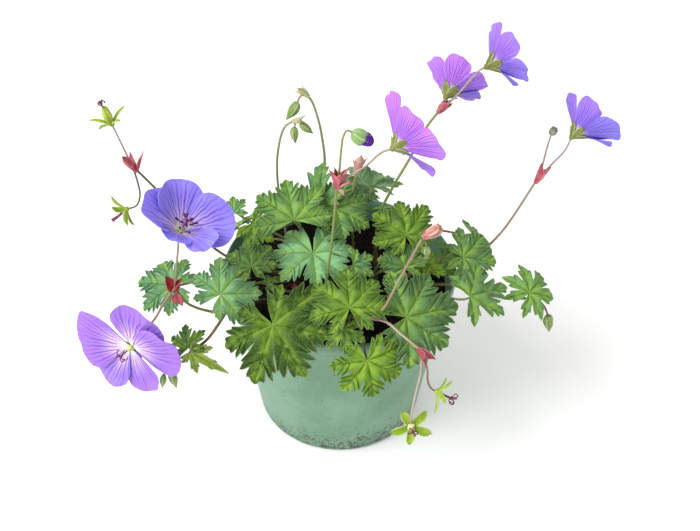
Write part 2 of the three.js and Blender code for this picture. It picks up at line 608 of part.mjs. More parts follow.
/** Star of sepals raised towards the axis by rise degrees, whose middle is set along the axis. */
function sepals({ at, faces }, turns, length, rise, along, edge = SEPAL_EDGE) {
  const plan = starPlan(turns.map((turn) => [turn, length]), SEPAL.root * length, edge);
  const [spread, lift] = [Math.cos(rise * DEGREE), Math.sin(rise * DEGREE)];
  const points = plan.points.map(([x, y]) => [x * spread, y * spread, along + lift * Math.hypot(x, y)]);
  return blade({ ...plan, points }, BLADE.sepal / spread, bladeFrame(at, faces, 0));
}

/** Ovary with its style and star of stigmas, ringed by stamens. */
function flowerCentre(bloom) {
  const pistil = turned(PISTIL, STEM_SIDES, bladeFrame(bloom.at, bloom.faces, 0));
  const stamens = evenly(0).map((turn) => ray(bloom, turn, STAMEN.from, STAMEN.to, STAMEN.radii));
  const { first, length, rise, along } = STIGMAS;
  return join([pistil, sepals(bloom, evenly(first), length, rise, along, []), ...stamens]);
}

/** Height of the middle of a bloom's calyx along its axis, clear below the petals' hub. */
const calyxHeight = ({ open }) => -SEPAL.drop - PETAL_HUB.radius * Math.tan((open - SEPAL.lean) * DEGREE);

const calyxMiddle = (bloom) => vec([0, 0, calyxHeight(bloom)]).applyMatrix4(
  bladeFrame(bloom.at, bloom.faces, 0));

/** Green calyx behind a bloom. */
const calyx = (bloom) => sepals(bloom, evenly(bloom.petals[0][0] + 180 / PETAL_COUNT), SEPAL.length,
  bloom.open - SEPAL.lean, calyxHeight(bloom));

/** Closed bud; a blunt one has room for the petals that push out of it. */
function bud({ at, faces, length, radius, blunt }) {
  const section = BUD_SECTIONS[blunt ? 'blunt' : 'pointed'];
  return turned(section.map(([r, z]) => [r * radius, z * length]), PETAL_COUNT, bladeFrame(at, faces, 0));
}

/** Seed head of a spent flower: a swollen base that runs out in a beak, over spread sepals. */
function seedHead({ at, faces, turn, lean, length, beak, radius }) {
  const { foot, belly, neck, style } = OVARY;
  const section = [
    [0, foot], [0.8 * radius, foot], [radius, belly], [style, neck], [style, beak], [0, beak]];
  const fruit = turned(section, STEM_SIDES, bladeFrame(at, faces, 0));
  return fruit.add(sepals({ at, faces }, evenly(turn), length, 90 - lean, -CLEARANCE));
}

/** Tubes of a stem and its pedicels; margin = extra radius. */
function stemTubes({ routes }, margin = 0) {
  return routes.map(({ path, girth: [start, end], bloom }) => {
    const points = path.map(vec);
    if (bloom) points.push(calyxMiddle(BLOOMS[bloom]));
    const curve = new THREE.CatmullRomCurve3(points);
    return tube(curve, start + margin, end + margin, STEM_SIDES, points.length - 1);
  });
}

/** Stem with its pedicels, calyces, buds, seed heads and leaves. */
function floweringStem(stem) {
  const ends = stem.routes.flatMap((route) => {
    const at = route.path.at(-1);
    if (route.bloom) return [calyx(BLOOMS[route.bloom])];
    if (route.bud) return [bud({ at, ...route.bud })];
    return route.seedHead ? [seedHead({ at, ...route.seedHead })] : [];
  });
  const leaves = (stem.leaves ?? []).flatMap((leaf) => [petiole(vec(leaf.from), leaf), leafBlade(leaf)]);
  return join([crown(stem.foot, STEM_CROWN_RADIUS), ...stemTubes(stem), ...ends, ...leaves]);
}

/** Bracts joined in a collar with a hole for the stem; each keeps its thickness however steep it stands. */
function bractCollar({ stem, at, faces, bracts }) {
  const plan = starPlan(bracts.map(([turn, , length]) => [turn, length]), COLLAR.radius, SEPAL_EDGE);
  const perArm = plan.rimCount / bracts.length;
  const points = plan.points.map(([x, y], i) => {
    const arm = bracts[Math.floor(i / perArm)];
    if (i % perArm === 0 || !arm) return [x, y, 0, COLLAR.half];
    const rise = (90 - arm[1]) * DEGREE;
    const half = BLADE.bract / 2 / Math.cos(rise);
    return [x * Math.cos(rise), y * Math.cos(rise), Math.hypot(x, y) * Math.sin(rise), half];
  });
  return blade({ ...plan, points }, BLADE.bract, bladeFrame(at, faces, 0))
    .subtract(join(stemTubes(STEMS[stem], COLLAR.clearance)));
}

/** Turned end of a stem. */
function tip({ at, faces, length, radius, sides = 6 }) {
  return turned(TIP_SECTION.map(([r, z]) => [r * radius, z * length]), sides, bladeFrame(at, faces, 0));
}

// ---- Pot and soil ----------------------------------------------------------------------------

const POT_WALL_TOP = POT.rimRadius - POT.rimStep;
/** Outer radius of the pot's tapered wall at a height. */
const potRadius = (z) => THREE.MathUtils.mapLinear(
  z, POT.cornerRadius, POT.height, POT.baseRadius, POT_WALL_TOP);

/** Thin tapered shell with a rim band and drain holes. */
function pot() {
  const { height, rimRadius, rimHeight, baseRadius, cornerRadius, wall, edge, lip } = POT;
  const shoulder = height - rimHeight;
  const profile = [
    [0, 0], [baseRadius - cornerRadius, 0], [potRadius(cornerRadius), cornerRadius],
    [potRadius(shoulder), shoulder], [rimRadius - edge, shoulder + edge], [rimRadius, height - edge],
    [rimRadius - lip, height], [rimRadius - wall, height], [potRadius(shoulder) - wall, shoulder - lip],
    [potRadius(cornerRadius) - wall, cornerRadius + lip],
    [baseRadius - cornerRadius - lip, wall], [0, wall],
  ];
  const shell = turned(profile, POT.sides);
  const holes = Array.from({ length: POT.holeCount }, (_, i) => {
    const angle = (2 * Math.PI * (i + 0.5)) / POT.holeCount;
    return post(POT.holeCircle * Math.cos(angle), POT.holeCircle * Math.sin(angle),
      -1, wall + 1, POT.holeRadius, POT.holeSides);
  });
  return shell.subtract(join(holes));
}

/** Height of the peat's crumbly surface. */
function soilHeight(x, y) {
  const phase = x / SOIL_WAVES.x + SOIL_WAVES.bend * Math.sin(y / SOIL_WAVES.bendLength);
  return SOIL.top + SOIL_WAVES.height * Math.sin(phase) * Math.cos(y / SOIL_WAVES.y);
}

/** Peat that fills the pot, with a hole for each crown. */
function soil(feet) {
  const { sides } = SOIL;
  const innerRadius = (z) => potRadius(z) - POT.wall - CLEARANCE;
  const low = POT.cornerRadius + 1;
  const points = [new THREE.Vector3(0, 0, soilHeight(0, 0))];
  const ring = (radius, height) => {
    for (let j = 0; j < sides; j++) {
      const angle = (2 * Math.PI * j) / sides;
      const [x, y] = [radius * Math.sin(angle), -radius * Math.cos(angle)];
      points.push(new THREE.Vector3(x, y, height(x, y)));
    }
  };
  SOIL.rings.forEach((radius) => ring(radius, soilHeight));
  ring(innerRadius(SOIL.top), () => SOIL.top);
  ring(innerRadius(low), () => low);
  ring(POT.baseRadius - POT.cornerRadius - 1, () => POT.wall + CLEARANCE);
  points.push(new THREE.Vector3(0, 0, POT.wall + CLEARANCE));
  const triangles = [];
  const at = (k, j) => 1 + k * sides + (j % sides);
  const rings = (points.length - 2) / sides;
  for (let j = 0; j < sides; j++) {
    triangles.push([0, at(0, j), at(0, j + 1)], [points.length - 1, at(rings - 1, j + 1), at(rings - 1, j)]);
    for (let k = 0; k < rings - 1; k++) {
      triangles.push([at(k, j), at(k + 1, j), at(k + 1, j + 1)], [at(k, j), at(k + 1, j + 1), at(k, j + 1)]);
    }
  }
  const holes = feet.map(({ at: [x, y], radius }) => post(
    x, y, SOIL.top - SOIL.holeDepth, SOIL.top + 4, radius + CLEARANCE + 0.1, CROWN.sides));
  return solidOf(points, triangles).subtract(join(holes));
}

// ---- Assembly --------------------------------------------------------------------------------

const plant = new THREE.Group();

/** Adds a solid to the plant as a named mesh. */
function addPart(name, solid, material) {
  const { vertProperties, triVerts } = solid.getMesh();
  const geometry = new THREE.BufferGeometry();
  geometry.setAttribute('position', new THREE.BufferAttribute(new Float32Array(vertProperties), 3));
  geometry.setIndex(new THREE.BufferAttribute(new Uint32Array(triVerts), 1));
  const mesh = new THREE.Mesh(geometry, material);
  mesh.name = name;
  plant.add(mesh);
}

const feet = [
  ...Object.values(SHOOTS).map(({ foot }) => ({ at: foot, radius: CROWN.radius })),
  ...Object.values(STEMS).map(({ foot }) => ({ at: foot, radius: STEM_CROWN_RADIUS })),
];
addPart('pot', pot(), MATERIALS.pot);
addPart('soil', soil(feet), MATERIALS.soil);
for (const [name, shoot] of Object.entries(SHOOTS)) addPart(name, leafyShoot(shoot), MATERIALS.leaf);
for (const [name, stem] of Object.entries(STEMS)) addPart(name, floweringStem(stem), MATERIALS.stem);
for (const [name, bloom] of Object.entries(BLOOMS)) {
  addPart(`petals_${name}`, petals(bloom), MATERIALS.petal);
  addPart(`centre_${name}`, flowerCentre(bloom), MATERIALS.centre);
}
for (const [name, collar] of Object.entries(BRACTS)) addPart(name, bractCollar(collar), MATERIALS.bract);
for (const [name, end] of Object.entries(TIPS)) addPart(name, tip(end), MATERIALS[end.material]);

export default plant;
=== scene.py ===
"""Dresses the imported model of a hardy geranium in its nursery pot.

Sizes of the plant are written in millimetres and turned to metres where a mesh is made.
Azimuth 0 is the plant's front (-Y) and 90 is +X; the origin is the middle of the pot's underside.
"""
import logging
import math
import random
from dataclasses import dataclass, replace
from enum import Enum
from typing import Callable, Iterable, Optional, Sequence, Union

import bpy
from mathutils import Matrix, Vector, noise


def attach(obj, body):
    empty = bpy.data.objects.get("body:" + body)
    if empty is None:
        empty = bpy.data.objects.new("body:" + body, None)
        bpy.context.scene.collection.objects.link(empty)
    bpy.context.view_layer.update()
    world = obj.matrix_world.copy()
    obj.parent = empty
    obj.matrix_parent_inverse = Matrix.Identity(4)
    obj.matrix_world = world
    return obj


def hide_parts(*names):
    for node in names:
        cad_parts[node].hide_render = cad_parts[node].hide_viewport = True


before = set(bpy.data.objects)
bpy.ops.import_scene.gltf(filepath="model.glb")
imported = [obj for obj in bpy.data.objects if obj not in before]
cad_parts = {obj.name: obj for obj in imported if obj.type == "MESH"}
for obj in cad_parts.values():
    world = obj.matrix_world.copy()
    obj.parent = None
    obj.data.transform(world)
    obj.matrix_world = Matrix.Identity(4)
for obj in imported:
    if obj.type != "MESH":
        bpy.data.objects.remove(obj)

logging.basicConfig(level=logging.INFO, format="%(name)s: %(message)s")
LOG = logging.getLogger("geranium")

MM = 0.001
BODY = "root"
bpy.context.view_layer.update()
FULL_TURN = 2 * math.pi

Pair = tuple[float, float]
Triple = tuple[float, float, float]
Colour = tuple[float, float, float, float]
Face = tuple[int, ...]


# ---- Vectors and curves ----------------------------------------------------------------------


def direction(azimuth: float, elevation: float) -> Vector:
    """Unit vector that points to an azimuth and an elevation, in degrees."""
    a, e = math.radians(azimuth), math.radians(elevation)
    return Vector((math.cos(e) * math.sin(a), -math.cos(e) * math.cos(a), math.sin(e)))


def polar(radius: float, angle: float) -> Pair:
    """x and y of a point at a radius and an angle in radians."""
    return radius * math.cos(angle), radius * math.sin(angle)


def about(axis: str, angle: float) -> Matrix:
    """Turn about one of the axes by an angle in radians."""
    return Matrix.Rotation(angle, 4, axis)


def blade_frame(at: Sequence[float], faces: Pair, turn: float = 0.0) -> Matrix:
    """Placement of a blade.

    Args:
        at: the blade's foot.
        faces: azimuth and elevation of its upper side.
        turn: angle of its middle from straight downhill.

    Returns:
        A matrix with x along the blade's middle and z out of its upper side.
    """
    normal = direction(*faces)
    downhill = direction(faces[0], faces[1] - 90)
    along = Matrix.Rotation(math.radians(turn), 3, normal) @ downhill
    axes = Matrix((along, normal.cross(along), normal)).transposed()
    return Matrix.Translation(Vector(at)) @ axes.to_4x4()


def leaning(ring: Matrix, turn: float, root: float, lean: float) -> Matrix:
    """Placement of a blade that stands on a ring.

    Args:
        ring: placement of the ring.
        turn: the blade's turn round the ring's axis.
        root: distance of its foot from the axis.
        lean: its lean from the axis.

    Returns:
        A matrix with x along the blade and z towards the axis.
    """
    out = ring @ about("Z", math.radians(turn)) @ Matrix.Translation((root, 0, 0))
    return out @ about("Y", math.radians(lean - 90))


def smooth_path(corners: Iterable[Sequence[float]], steps: int) -> list[Vector]:
    """Centripetal curve through points of the plane or of space.

    Args:
        corners: the points that it passes.
        steps: number of steps between each two of them.

    Returns:
        The points along the curve.
    """
    points = [Vector(corner) for corner in corners]
    ends = [points[0] * 2 - points[1], *points, points[-1] * 2 - points[-2]]
    path = []
    for p0, p1, p2, p3 in zip(ends, ends[1:], ends[2:], ends[3:]):
        d0, d1, d2 = (math.sqrt(max((b - a).length, 1e-6)) for a, b in ((p0, p1), (p1, p2), (p2, p3)))
        leave = ((p1 - p0) / d0 - (p2 - p0) / (d0 + d1) + (p2 - p1) / d1) * d1
        reach = ((p2 - p1) / d1 - (p3 - p1) / (d1 + d2) + (p3 - p2) / d2) * d1
        for i in range(steps):
            t = i / steps
            path.append(p1 * (2 * t**3 - 3 * t**2 + 1) + leave * (t**3 - 2 * t**2 + t)
                        + p2 * (3 * t**2 - 2 * t**3) + reach * (t**3 - t**2))
    return [*path, points[-1]]


def bezier_path(corners: Sequence[Vector], steps: int) -> list[Vector]:
    """Points along a cubic curve with four corners."""
    a, b, c, d = corners
    return [a * (1 - t) ** 3 + b * (3 * t * (1 - t) ** 2) + c * (3 * t * t * (1 - t)) + d * t**3
            for t in (i / steps for i in range(steps + 1))]


def scaled(rings: Sequence[Pair], radius: float, length: float) -> list[Pair]:
    """Radius and height of rings that are given in shares."""
    return [(r * radius, z * length) for r, z in rings]


def table_value(rows: Sequence[Pair], at: float) -> float:
    """Value between (place, value) rows, in straight runs and flat past both ends."""
    for (x0, y0), (x1, y1) in zip(rows, rows[1:]):
        if at <= x1:
            return y0 + (y1 - y0) * max(0.0, (at - x0) / (x1 - x0))
    return rows[-1][1]


def ease(value: float, low: float, high: float) -> float:
    """Smooth step from 0 at low to 1 at high."""
    t = min(1.0, max(0.0, (value - low) / (high - low)))
    return t * t * (3 - 2 * t)


# ---- Node trees ------------------------------------------------------------------------------


def paint(code: str) -> Colour:
    """Linear colour of a hexadecimal screen colour such as "#4f8f3a"."""
    shares = [int(code[i:i + 2], 16) / 255 for i in (1, 3, 5)]
    linear = [s / 12.92 if s <= 0.04045 else ((s + 0.055) / 1.055) ** 2.4 for s in shares]
    return (*linear, 1.0)


@dataclass(frozen=True)
class Wire:
    """A node's output, which can be reckoned with like a number."""

    sketch: "Sketch"
    socket: bpy.types.NodeSocket

    def __add__(self, other: "Source") -> "Wire":
        """Sum of two values."""
        return self.sketch.math("ADD", self, other)

    def __sub__(self, other: "Source") -> "Wire":
        """Difference of two values."""
        return self.sketch.math("SUBTRACT", self, other)

    def __rsub__(self, other: float) -> "Wire":
        """Difference of a plain number and this value."""
        return self.sketch.math("SUBTRACT", other, self)

    def __mul__(self, other: "Source") -> "Wire":
        """Product of two values."""
        return self.sketch.math("MULTIPLY", self, other)

    def __truediv__(self, other: "Source") -> "Wire":
        """Quotient of two values."""
        return self.sketch.math("DIVIDE", self, other)

    def __abs__(self) -> "Wire":
        """The value without its sign."""
        return self.sketch.math("ABSOLUTE", self)


Source = Union[Wire, float, Colour]
Key = Union[int, str]


@dataclass(frozen=True)
class Cloud:
    """Soft patches: features per metre, their detail, the noise where they begin and where they are full."""

    scale: float
    detail: float
    begin: float = 0.35
    full: float = 0.65
    roughness: float = 0.5


class Sketch:
    """Draws the node tree of a material or a group."""

    def __init__(self, tree: bpy.types.NodeTree) -> None:
        """Starts on an empty tree."""
        self.tree = tree
        tree.nodes.clear()

    def feed(self, socket: bpy.types.NodeSocket, source: Source) -> None:
        """Links a wire to a socket, or sets the socket to a plain value."""
        if isinstance(source, Wire):
            self.tree.links.new(source.socket, socket)
        else:
            socket.default_value = source

    def node(self, kind: str, inputs: dict[Key, Source], **settings: object) -> bpy.types.Node:
        """Adds a node.

        Args:
            kind: the node's type.
            inputs: what feeds its inputs, by place or name.
            settings: its properties.

        Returns:
            The new node.
        """
        made = self.tree.nodes.new(kind)
        for name, value in settings.items():
            setattr(made, name, value)
        for key, source in inputs.items():
            self.feed(made.inputs[key], source)
        return made

    def wire(self, kind: str, inputs: dict[Key, Source], output: Key = 0, **settings: object) -> Wire:
        """Adds a node as above and gives one of its outputs."""
        return Wire(self, self.node(kind, inputs, **settings).outputs[output])

    def math(self, operation: str, *sources: Source) -> Wire:
        """Result of a Math node."""
        return self.wire("ShaderNodeMath", dict(enumerate(sources)), operation=operation)

    def larger(self, one: Source, other: Source) -> Wire:
        """The larger of two values."""
        return self.math("MAXIMUM", one, other)

    def from_middle(self, value: Wire) -> Wire:
        """Distance of a value from the nearest whole number."""
        return abs(self.math("FRACT", value + 0.5) - 0.5)

    def blend(self, share: Source, first: Source, second: Source) -> Wire:
        """Mix of two colours."""
        return self.wire("ShaderNodeMix", {0: share, 6: first, 7: second}, 2, data_type="RGBA")

    def wash(self, colour: Source, share: Source, code: str) -> Wire:
        """A colour under a share of another one."""
        return self.blend(share, colour, paint(code))

    def step(self, value: Source, low: float, high: float) -> Wire:
        """Smooth step of a value between two limits."""
        return self.wire("ShaderNodeMapRange", {0: value, 1: low, 2: high}, interpolation_type="SMOOTHSTEP")

    def fall(self, value: Source, low: float, high: float) -> Wire:
        """One minus the smooth step."""
        return 1.0 - self.step(value, low, high)

    def attribute(self, name: str) -> Wire:
        """A value that the mesh carries under a name."""
        return self.wire("ShaderNodeAttribute", {}, "Fac", attribute_name=name)

    def place(self) -> Wire:
        """Object coordinates, in metres."""
        return self.wire("ShaderNodeTexCoord", {}, "Object")

    def height(self) -> Wire:
        """Height above the floor, in metres."""
        return self.wire("ShaderNodeSeparateXYZ", {0: self.place()}, "Z")

    def noise(self, scale: float, detail: float = 2.0, roughness: float = 0.5) -> Wire:
        """Noise on Object coordinates; scale is in features per metre."""
        inputs = {"Vector": self.place(), "Scale": scale, "Detail": detail, "Roughness": roughness}
        return self.wire("ShaderNodeTexNoise", inputs, "Fac")

    def cloud(self, cloud: Cloud) -> Wire:
        """Soft patches, 0 between them and 1 inside."""
        return self.step(self.noise(cloud.scale, cloud.detail, cloud.roughness), cloud.begin, cloud.full)

    def cells(self, scale: float) -> Wire:
        """Distance to the edge of small cells, in shares of a cell."""
        inputs = {"Vector": self.place(), "Scale": scale}
        return self.wire("ShaderNodeTexVoronoi", inputs, "Distance", feature="DISTANCE_TO_EDGE")

    def group(self, tree: bpy.types.NodeTree, **sources: Source) -> list[Wire]:
        """Places a node group, feeds its inputs by name and gives all its outputs."""
        made = self.node("ShaderNodeGroup", sources, node_tree=tree)
        return [Wire(self, socket) for socket in made.outputs]


def new_group(draw: Callable[..., dict[str, Wire]], *inputs: str) -> bpy.types.NodeTree:
    """Makes a shader node group whose sockets are all plain values.

    Args:
        draw: takes the sketch and a wire for each input, and gives the outputs by name.
        inputs: names of the group's inputs.

    Returns:
        The new group, named after the function that draws it.
    """
    tree = bpy.data.node_groups.new(draw.__name__, "ShaderNodeTree")
    for title in inputs:
        tree.interface.new_socket(title, in_out="INPUT", socket_type="NodeSocketFloat")
    sketch = Sketch(tree)
    given = sketch.node("NodeGroupInput", {})
    results = draw(sketch, *(Wire(sketch, given.outputs[title]) for title in inputs))
    for title in results:
        tree.interface.new_socket(title, in_out="OUTPUT", socket_type="NodeSocketFloat")
    sketch.node("NodeGroupOutput", results)
    return tree


TOOTH_SPACING = 3.4
NET_CELLS = 620


def leaf_veins(sketch: Sketch, beside: Wire, row: Wire) -> dict[str, Wire]:
    """Veins of a lobed leaf: a rib along each lobe and one to each tooth, over a fine net."""
    wander = (sketch.noise(420, 1) - 0.5) * 0.45
    ribs = sketch.fall(beside, 0.06, 0.34)
    side = sketch.fall(abs(sketch.from_middle(row) * TOOTH_SPACING + wander), 0.04, 0.22)
    net = sketch.fall(sketch.cells(NET_CELLS), 0.0, 0.1)
    return {"Veins": sketch.larger(ribs, side * 0.8), "Net": net}


def fan_veins(sketch: Sketch, across: Wire, along: Wire, count: Wire, width: Wire) -> dict[str, Wire]:
    """Veins that fan out along a petal, sepal or bract, and fork on the way."""
    waved = across + (sketch.noise(160, 2) - 0.5) * 0.16

    def lines(number: Wire, size: float) -> Wire:
        """Thin lines at even places across the blade, of about one width all along."""
        off = sketch.from_middle(waved * number)
        return sketch.fall(off * along / width / number, 0.4 * size, size)

    forks = lines(count * 2.0, 0.7) * sketch.step(along, 0.32, 0.5)
    return {"Veins": sketch.larger(lines(count, 1.0), forks * 0.7)}


def speckles(sketch: Sketch, amount: Wire) -> dict[str, Wire]:
    """Sparse spots of two sizes, for crumbs of soil and dried water marks."""
    limit = 0.78 - amount
    fine = sketch.math("GREATER_THAN", sketch.noise(900, 1), limit)
    coarse = sketch.math("GREATER_THAN", sketch.noise(330, 2), limit + 0.02)
    return {"Spots": sketch.larger(fine, coarse)}


class Groups:
    """The shared effects, each made once."""

    leaf_veins = new_group(leaf_veins, "Beside", "Row")
    fan_veins = new_group(fan_veins, "Across", "Along", "Count", "Width")
    speckles = new_group(speckles, "Amount")


# ---- Finishes --------------------------------------------------------------------------------


@dataclass(frozen=True)
class Surface:
    """Numbers of a finish that are the same all over it."""

    roughness: float = 0.5
    specular: float = 0.5
    subsurface: float = 0.0
    subsurface_tint: Triple = (1.0, 1.0, 1.0)
    sheen: float = 0.0
    bump: float = 0.0
    bump_depth: float = 0.0004

    SUBSURFACE_SCALE = 0.002

    def make(self, name: str, draw: Callable[[Sketch], tuple[Source, Optional[Wire]]]) -> bpy.types.Material:
        """Makes a material.

        Args:
            name: the material's name.
            draw: draws the tree and gives its colour and the wire of its height, or None.

        Returns:
            The new material.
        """
        material = bpy.data.materials.new(name)
        material.use_nodes = True
        sketch = Sketch(material.node_tree)
        colour, relief = draw(sketch)
        inputs = {"Base Color": colour, "Roughness": self.roughness, "Specular IOR Level": self.specular,
                  "Subsurface Weight": self.subsurface, "Subsurface Radius": self.subsurface_tint,
                  "Subsurface Scale": self.SUBSURFACE_SCALE, "Sheen Weight": self.sheen}
        if relief is not None:
            bump = {"Strength": self.bump, "Distance": self.bump_depth, "Height": relief}
            inputs["Normal"] = sketch.wire("ShaderNodeBump", bump)
        shader = sketch.wire("ShaderNodeBsdfPrincipled", inputs)
        sketch.node("ShaderNodeOutputMaterial", {"Surface": shader})
        return material


class Look:
    """Base of the finishes: a name, a surface and a drawing of colour and relief."""

    name: str
    surface: Surface

    def draw(self, sketch: Sketch) -> tuple[Wire, Wire]:
        """Draws the nodes and gives the wires of the colour and of the relief."""
        raise NotImplementedError

    def make(self) -> bpy.types.Material:
        """Makes the material."""
        return self.surface.make(self.name, self.draw)


@dataclass(frozen=True)
class LeafFinish(Look):
    """Green of a leaf's upper or lower side: cool or warm by its tint, dark or light by its light value, both
    partly painted light, shade and sky sheen.
    """

    name: str
    # The light cool green is partly a painted bluish sheen of the sky on leaves that face up.
    cool: tuple[str, str] = ("#3a6040", "#94d2a2")
    warm: tuple[str, str] = ("#33500f", "#7aa62c")
    blotch: str = "#9cbf3a"
    vein: str = "#a6c67c"
    blotches: float = 0.55
    surface: Surface = Surface(roughness=0.5, specular=0.2, subsurface=0.08, subsurface_tint=(0.5, 1.0, 0.2),
                               bump=0.9)

    SHADE = "#0d2408"
    SHADE_SHARE = 0.62
    DAPPLE = Cloud(80, 3, full=0.7)
    BLOTCH_CLOUD = Cloud(190, 2, 0.4, 0.6, 0.6)
    VEIN_SHARE = 0.42
    NET_SHARE = 0.2
    BORDER_SHARE = 0.25

    def draw(self, sketch: Sketch) -> tuple[Wire, Wire]:
        """Draws the leaf's colours and its puckered relief."""
        spread, beside, rim, light = map(sketch.attribute, ("spread", "beside", "rim", "light"))
        # Per-leaf light and tint: the leaf's own greens mixed with painted light and shade and a painted sky
        # sheen.
        cool, warm = (sketch.blend(light, *map(paint, tones)) for tones in (self.cool, self.warm))
        colour = sketch.blend(sketch.attribute("tint"), cool, warm)
        dim = sketch.cloud(self.DAPPLE) * 0.3 + sketch.step(rim, 0.25, 1.0) * 0.5
        colour = sketch.blend(dim, colour, sketch.wash(colour, self.SHADE_SHARE, self.SHADE))
        spots = sketch.cloud(self.BLOTCH_CLOUD) * sketch.fall(beside, 0.4, 4.5)
        heart = sketch.fall(spread, 0.02, 0.4) * 0.6
        colour = sketch.wash(colour, sketch.larger(spots, heart) * self.blotches, self.blotch)
        veins, net = sketch.group(Groups.leaf_veins, Beside=beside, Row=sketch.attribute("row"))
        border = sketch.step(rim, 0.93, 1.0)
        for line, share in ((veins, self.VEIN_SHARE), (net, self.NET_SHARE), (border, self.BORDER_SHARE)):
            colour = sketch.wash(colour, line * share, self.vein)
        return colour, sketch.noise(520, 3) * 0.8 - (veins + net * 0.35)


@dataclass(frozen=True)
class PetalFinish(Look):
    """Violet petal with a white throat and darker veins."""

    name: str
    blue: str = "#948afc"
    pink: str = "#9c6ed0"
    throat: str = "#f0d6f6"
    claw: str = "#f3f5e4"
    vein: str = "#6236c4"
    vein_share: float = 0.7
    throat_end: float = 0.72
    surface: Surface = Surface(roughness=0.55, specular=0.2, subsurface=0.15, subsurface_tint=(0.8, 0.5, 1.0),
                               sheen=0.05, bump=0.9)

    VEINS = {"Count": 4.5, "Width": 0.019}

    def draw(self, sketch: Sketch) -> tuple[Wire, Wire]:
        """Draws the petal's wash of colour, its veins and its fine pleats."""
        along, across = sketch.attribute("spread"), sketch.attribute("across")
        tint = sketch.attribute("tint") + (sketch.noise(75, 2) - 0.5) * 0.8
        share = sketch.math("MINIMUM", 1.0, sketch.larger(0.0, tint))
        colour = sketch.blend(share, paint(self.blue), paint(self.pink))
        throat = sketch.fall(along + sketch.noise(60, 1) * 0.2, 0.12, self.throat_end + 0.1)
        colour = sketch.wash(colour, throat, self.throat)
        colour = sketch.wash(colour, sketch.fall(along, 0.05, 0.26), self.claw)
        (veins,) = sketch.group(Groups.fan_veins, Across=across, Along=along, **self.VEINS)
        fade = sketch.fall(along, 0.62, 1.0) * sketch.step(along, 0.08, 0.35)
        colour = sketch.wash(colour, veins * fade * self.vein_share, self.vein)
        return colour, sketch.noise(700, 2) * 0.3 - veins


@dataclass(frozen=True)
class StripeFinish(Look):
    """Sepal or bract: a body colour, parallel veins and a rim and tip of their own."""

    name: str
    body: str
    other: str
    vein: str
    rim: str
    count: float = 2.0
    rim_share: float = 0.75
    tip_share: float = 0.5
    surface: Surface = Surface(roughness=0.5, specular=0.3, subsurface=0.1, subsurface_tint=(0.8, 1.0, 0.4),
                               bump=0.5)

    PATCHES = Cloud(220, 2)
    VEINS = {"Along": 0.5, "Width": 0.03}

    def draw(self, sketch: Sketch) -> tuple[Wire, Wire]:
        """Draws the stripes along the blade and its paler rim."""
        along, across = sketch.attribute("spread"), sketch.attribute("across")
        colour = sketch.blend(sketch.cloud(self.PATCHES), paint(self.body), paint(self.other))
        colour = sketch.wash(colour, sketch.attribute("tint"), self.rim)
        (veins,) = sketch.group(Groups.fan_veins, Across=across, Count=self.count, **self.VEINS)
        colour = sketch.wash(colour, veins * 0.6, self.vein)
        colour = sketch.wash(colour, sketch.step(abs(across), 0.74, 0.98) * self.rim_share, self.rim)
        colour = sketch.wash(colour, sketch.step(along, 0.8, 0.97) * self.tip_share, self.vein)
        return colour, sketch.noise(600, 2) - veins


@dataclass(frozen=True)
class StalkFinish(Look):
    """Stems and petioles: three colours from low to high, between limits in metres, and fine streaks."""

    name: str
    low: str = "#5a3a30"
    middle: str = "#6f8a3c"
    high: str = "#7f8e48"
    streak: str = "#94704c"
    limits: Triple = (0.092, 0.125, 0.19)
    surface: Surface = Surface(roughness=0.45, specular=0.4, subsurface=0.08, subsurface_tint=(0.9, 0.8, 0.3),
                               bump=0.3)

    STREAKS = Cloud(65, 3, 0.42, 0.66)
    STREAK_SHARE = 0.7

    def draw(self, sketch: Sketch) -> tuple[Wire, Wire]:
        """Draws the change of colour with height and the streaks."""
        height = sketch.height()
        first, second, third = self.limits
        colour = sketch.blend(sketch.step(height, first, second), paint(self.low), paint(self.middle))
        colour = sketch.wash(colour, sketch.step(height, second, third), self.high)
        colour = sketch.wash(colour, sketch.cloud(self.STREAKS) * self.STREAK_SHARE, self.streak)
        return colour, sketch.noise(1500, 2)


@dataclass(frozen=True)
class PlainFinish(Look):
    """Two tones in a cloud, with a fine relief."""

    name: str
    tones: tuple[str, str]
    scale: float = 300.0
    surface: Surface = Surface(roughness=0.6, bump=0.4)

    def draw(self, sketch: Sketch) -> tuple[Wire, Wire]:
        """Draws the cloud and the relief."""
        share = sketch.cloud(Cloud(self.scale, 3))
        return sketch.blend(share, *map(paint, self.tones)), sketch.noise(2.5 * self.scale, 3)


@dataclass(frozen=True)
class PotFinish(Look):
    """Moulded sage-green plastic with dried splashes and specks of soil near the foot."""

    name: str
    body: str = "#648f71"
    cloud: str = "#749d81"
    dust: str = "#9fb09c"
    dirt: str = "#2c281f"
    surface: Surface = Surface(roughness=0.42, specular=0.5, bump=0.12, bump_depth=0.0003)

    CLOUDS = Cloud(38, 3, full=0.7)
    DUST = Cloud(140, 4, 0.5, 0.8, 0.65)
    DIRT = Cloud(60, 3, 0.26, 0.5)
    DIRT_HEIGHTS = (0.002, 0.026)
    SPECKS_ALL_OVER = 0.064
    SPECKS_LOW = 0.19

    def draw(self, sketch: Sketch) -> tuple[Wire, Wire]:
        """Draws the plastic, its dust and its specks."""
        patches = sketch.fall(sketch.height(), *self.DIRT_HEIGHTS) * sketch.cloud(self.DIRT)
        (spots,) = sketch.group(Groups.speckles, Amount=patches * self.SPECKS_LOW + self.SPECKS_ALL_OVER)
        colour = sketch.blend(sketch.cloud(self.CLOUDS), paint(self.body), paint(self.cloud))
        colour = sketch.wash(colour, sketch.cloud(self.DUST) * 0.2, self.dust)
        return sketch.wash(colour, spots * 0.85, self.dirt), sketch.noise(2600, 1)


PEAT_SURFACE = Surface(roughness=0.95, specular=0.15, bump=0.8)


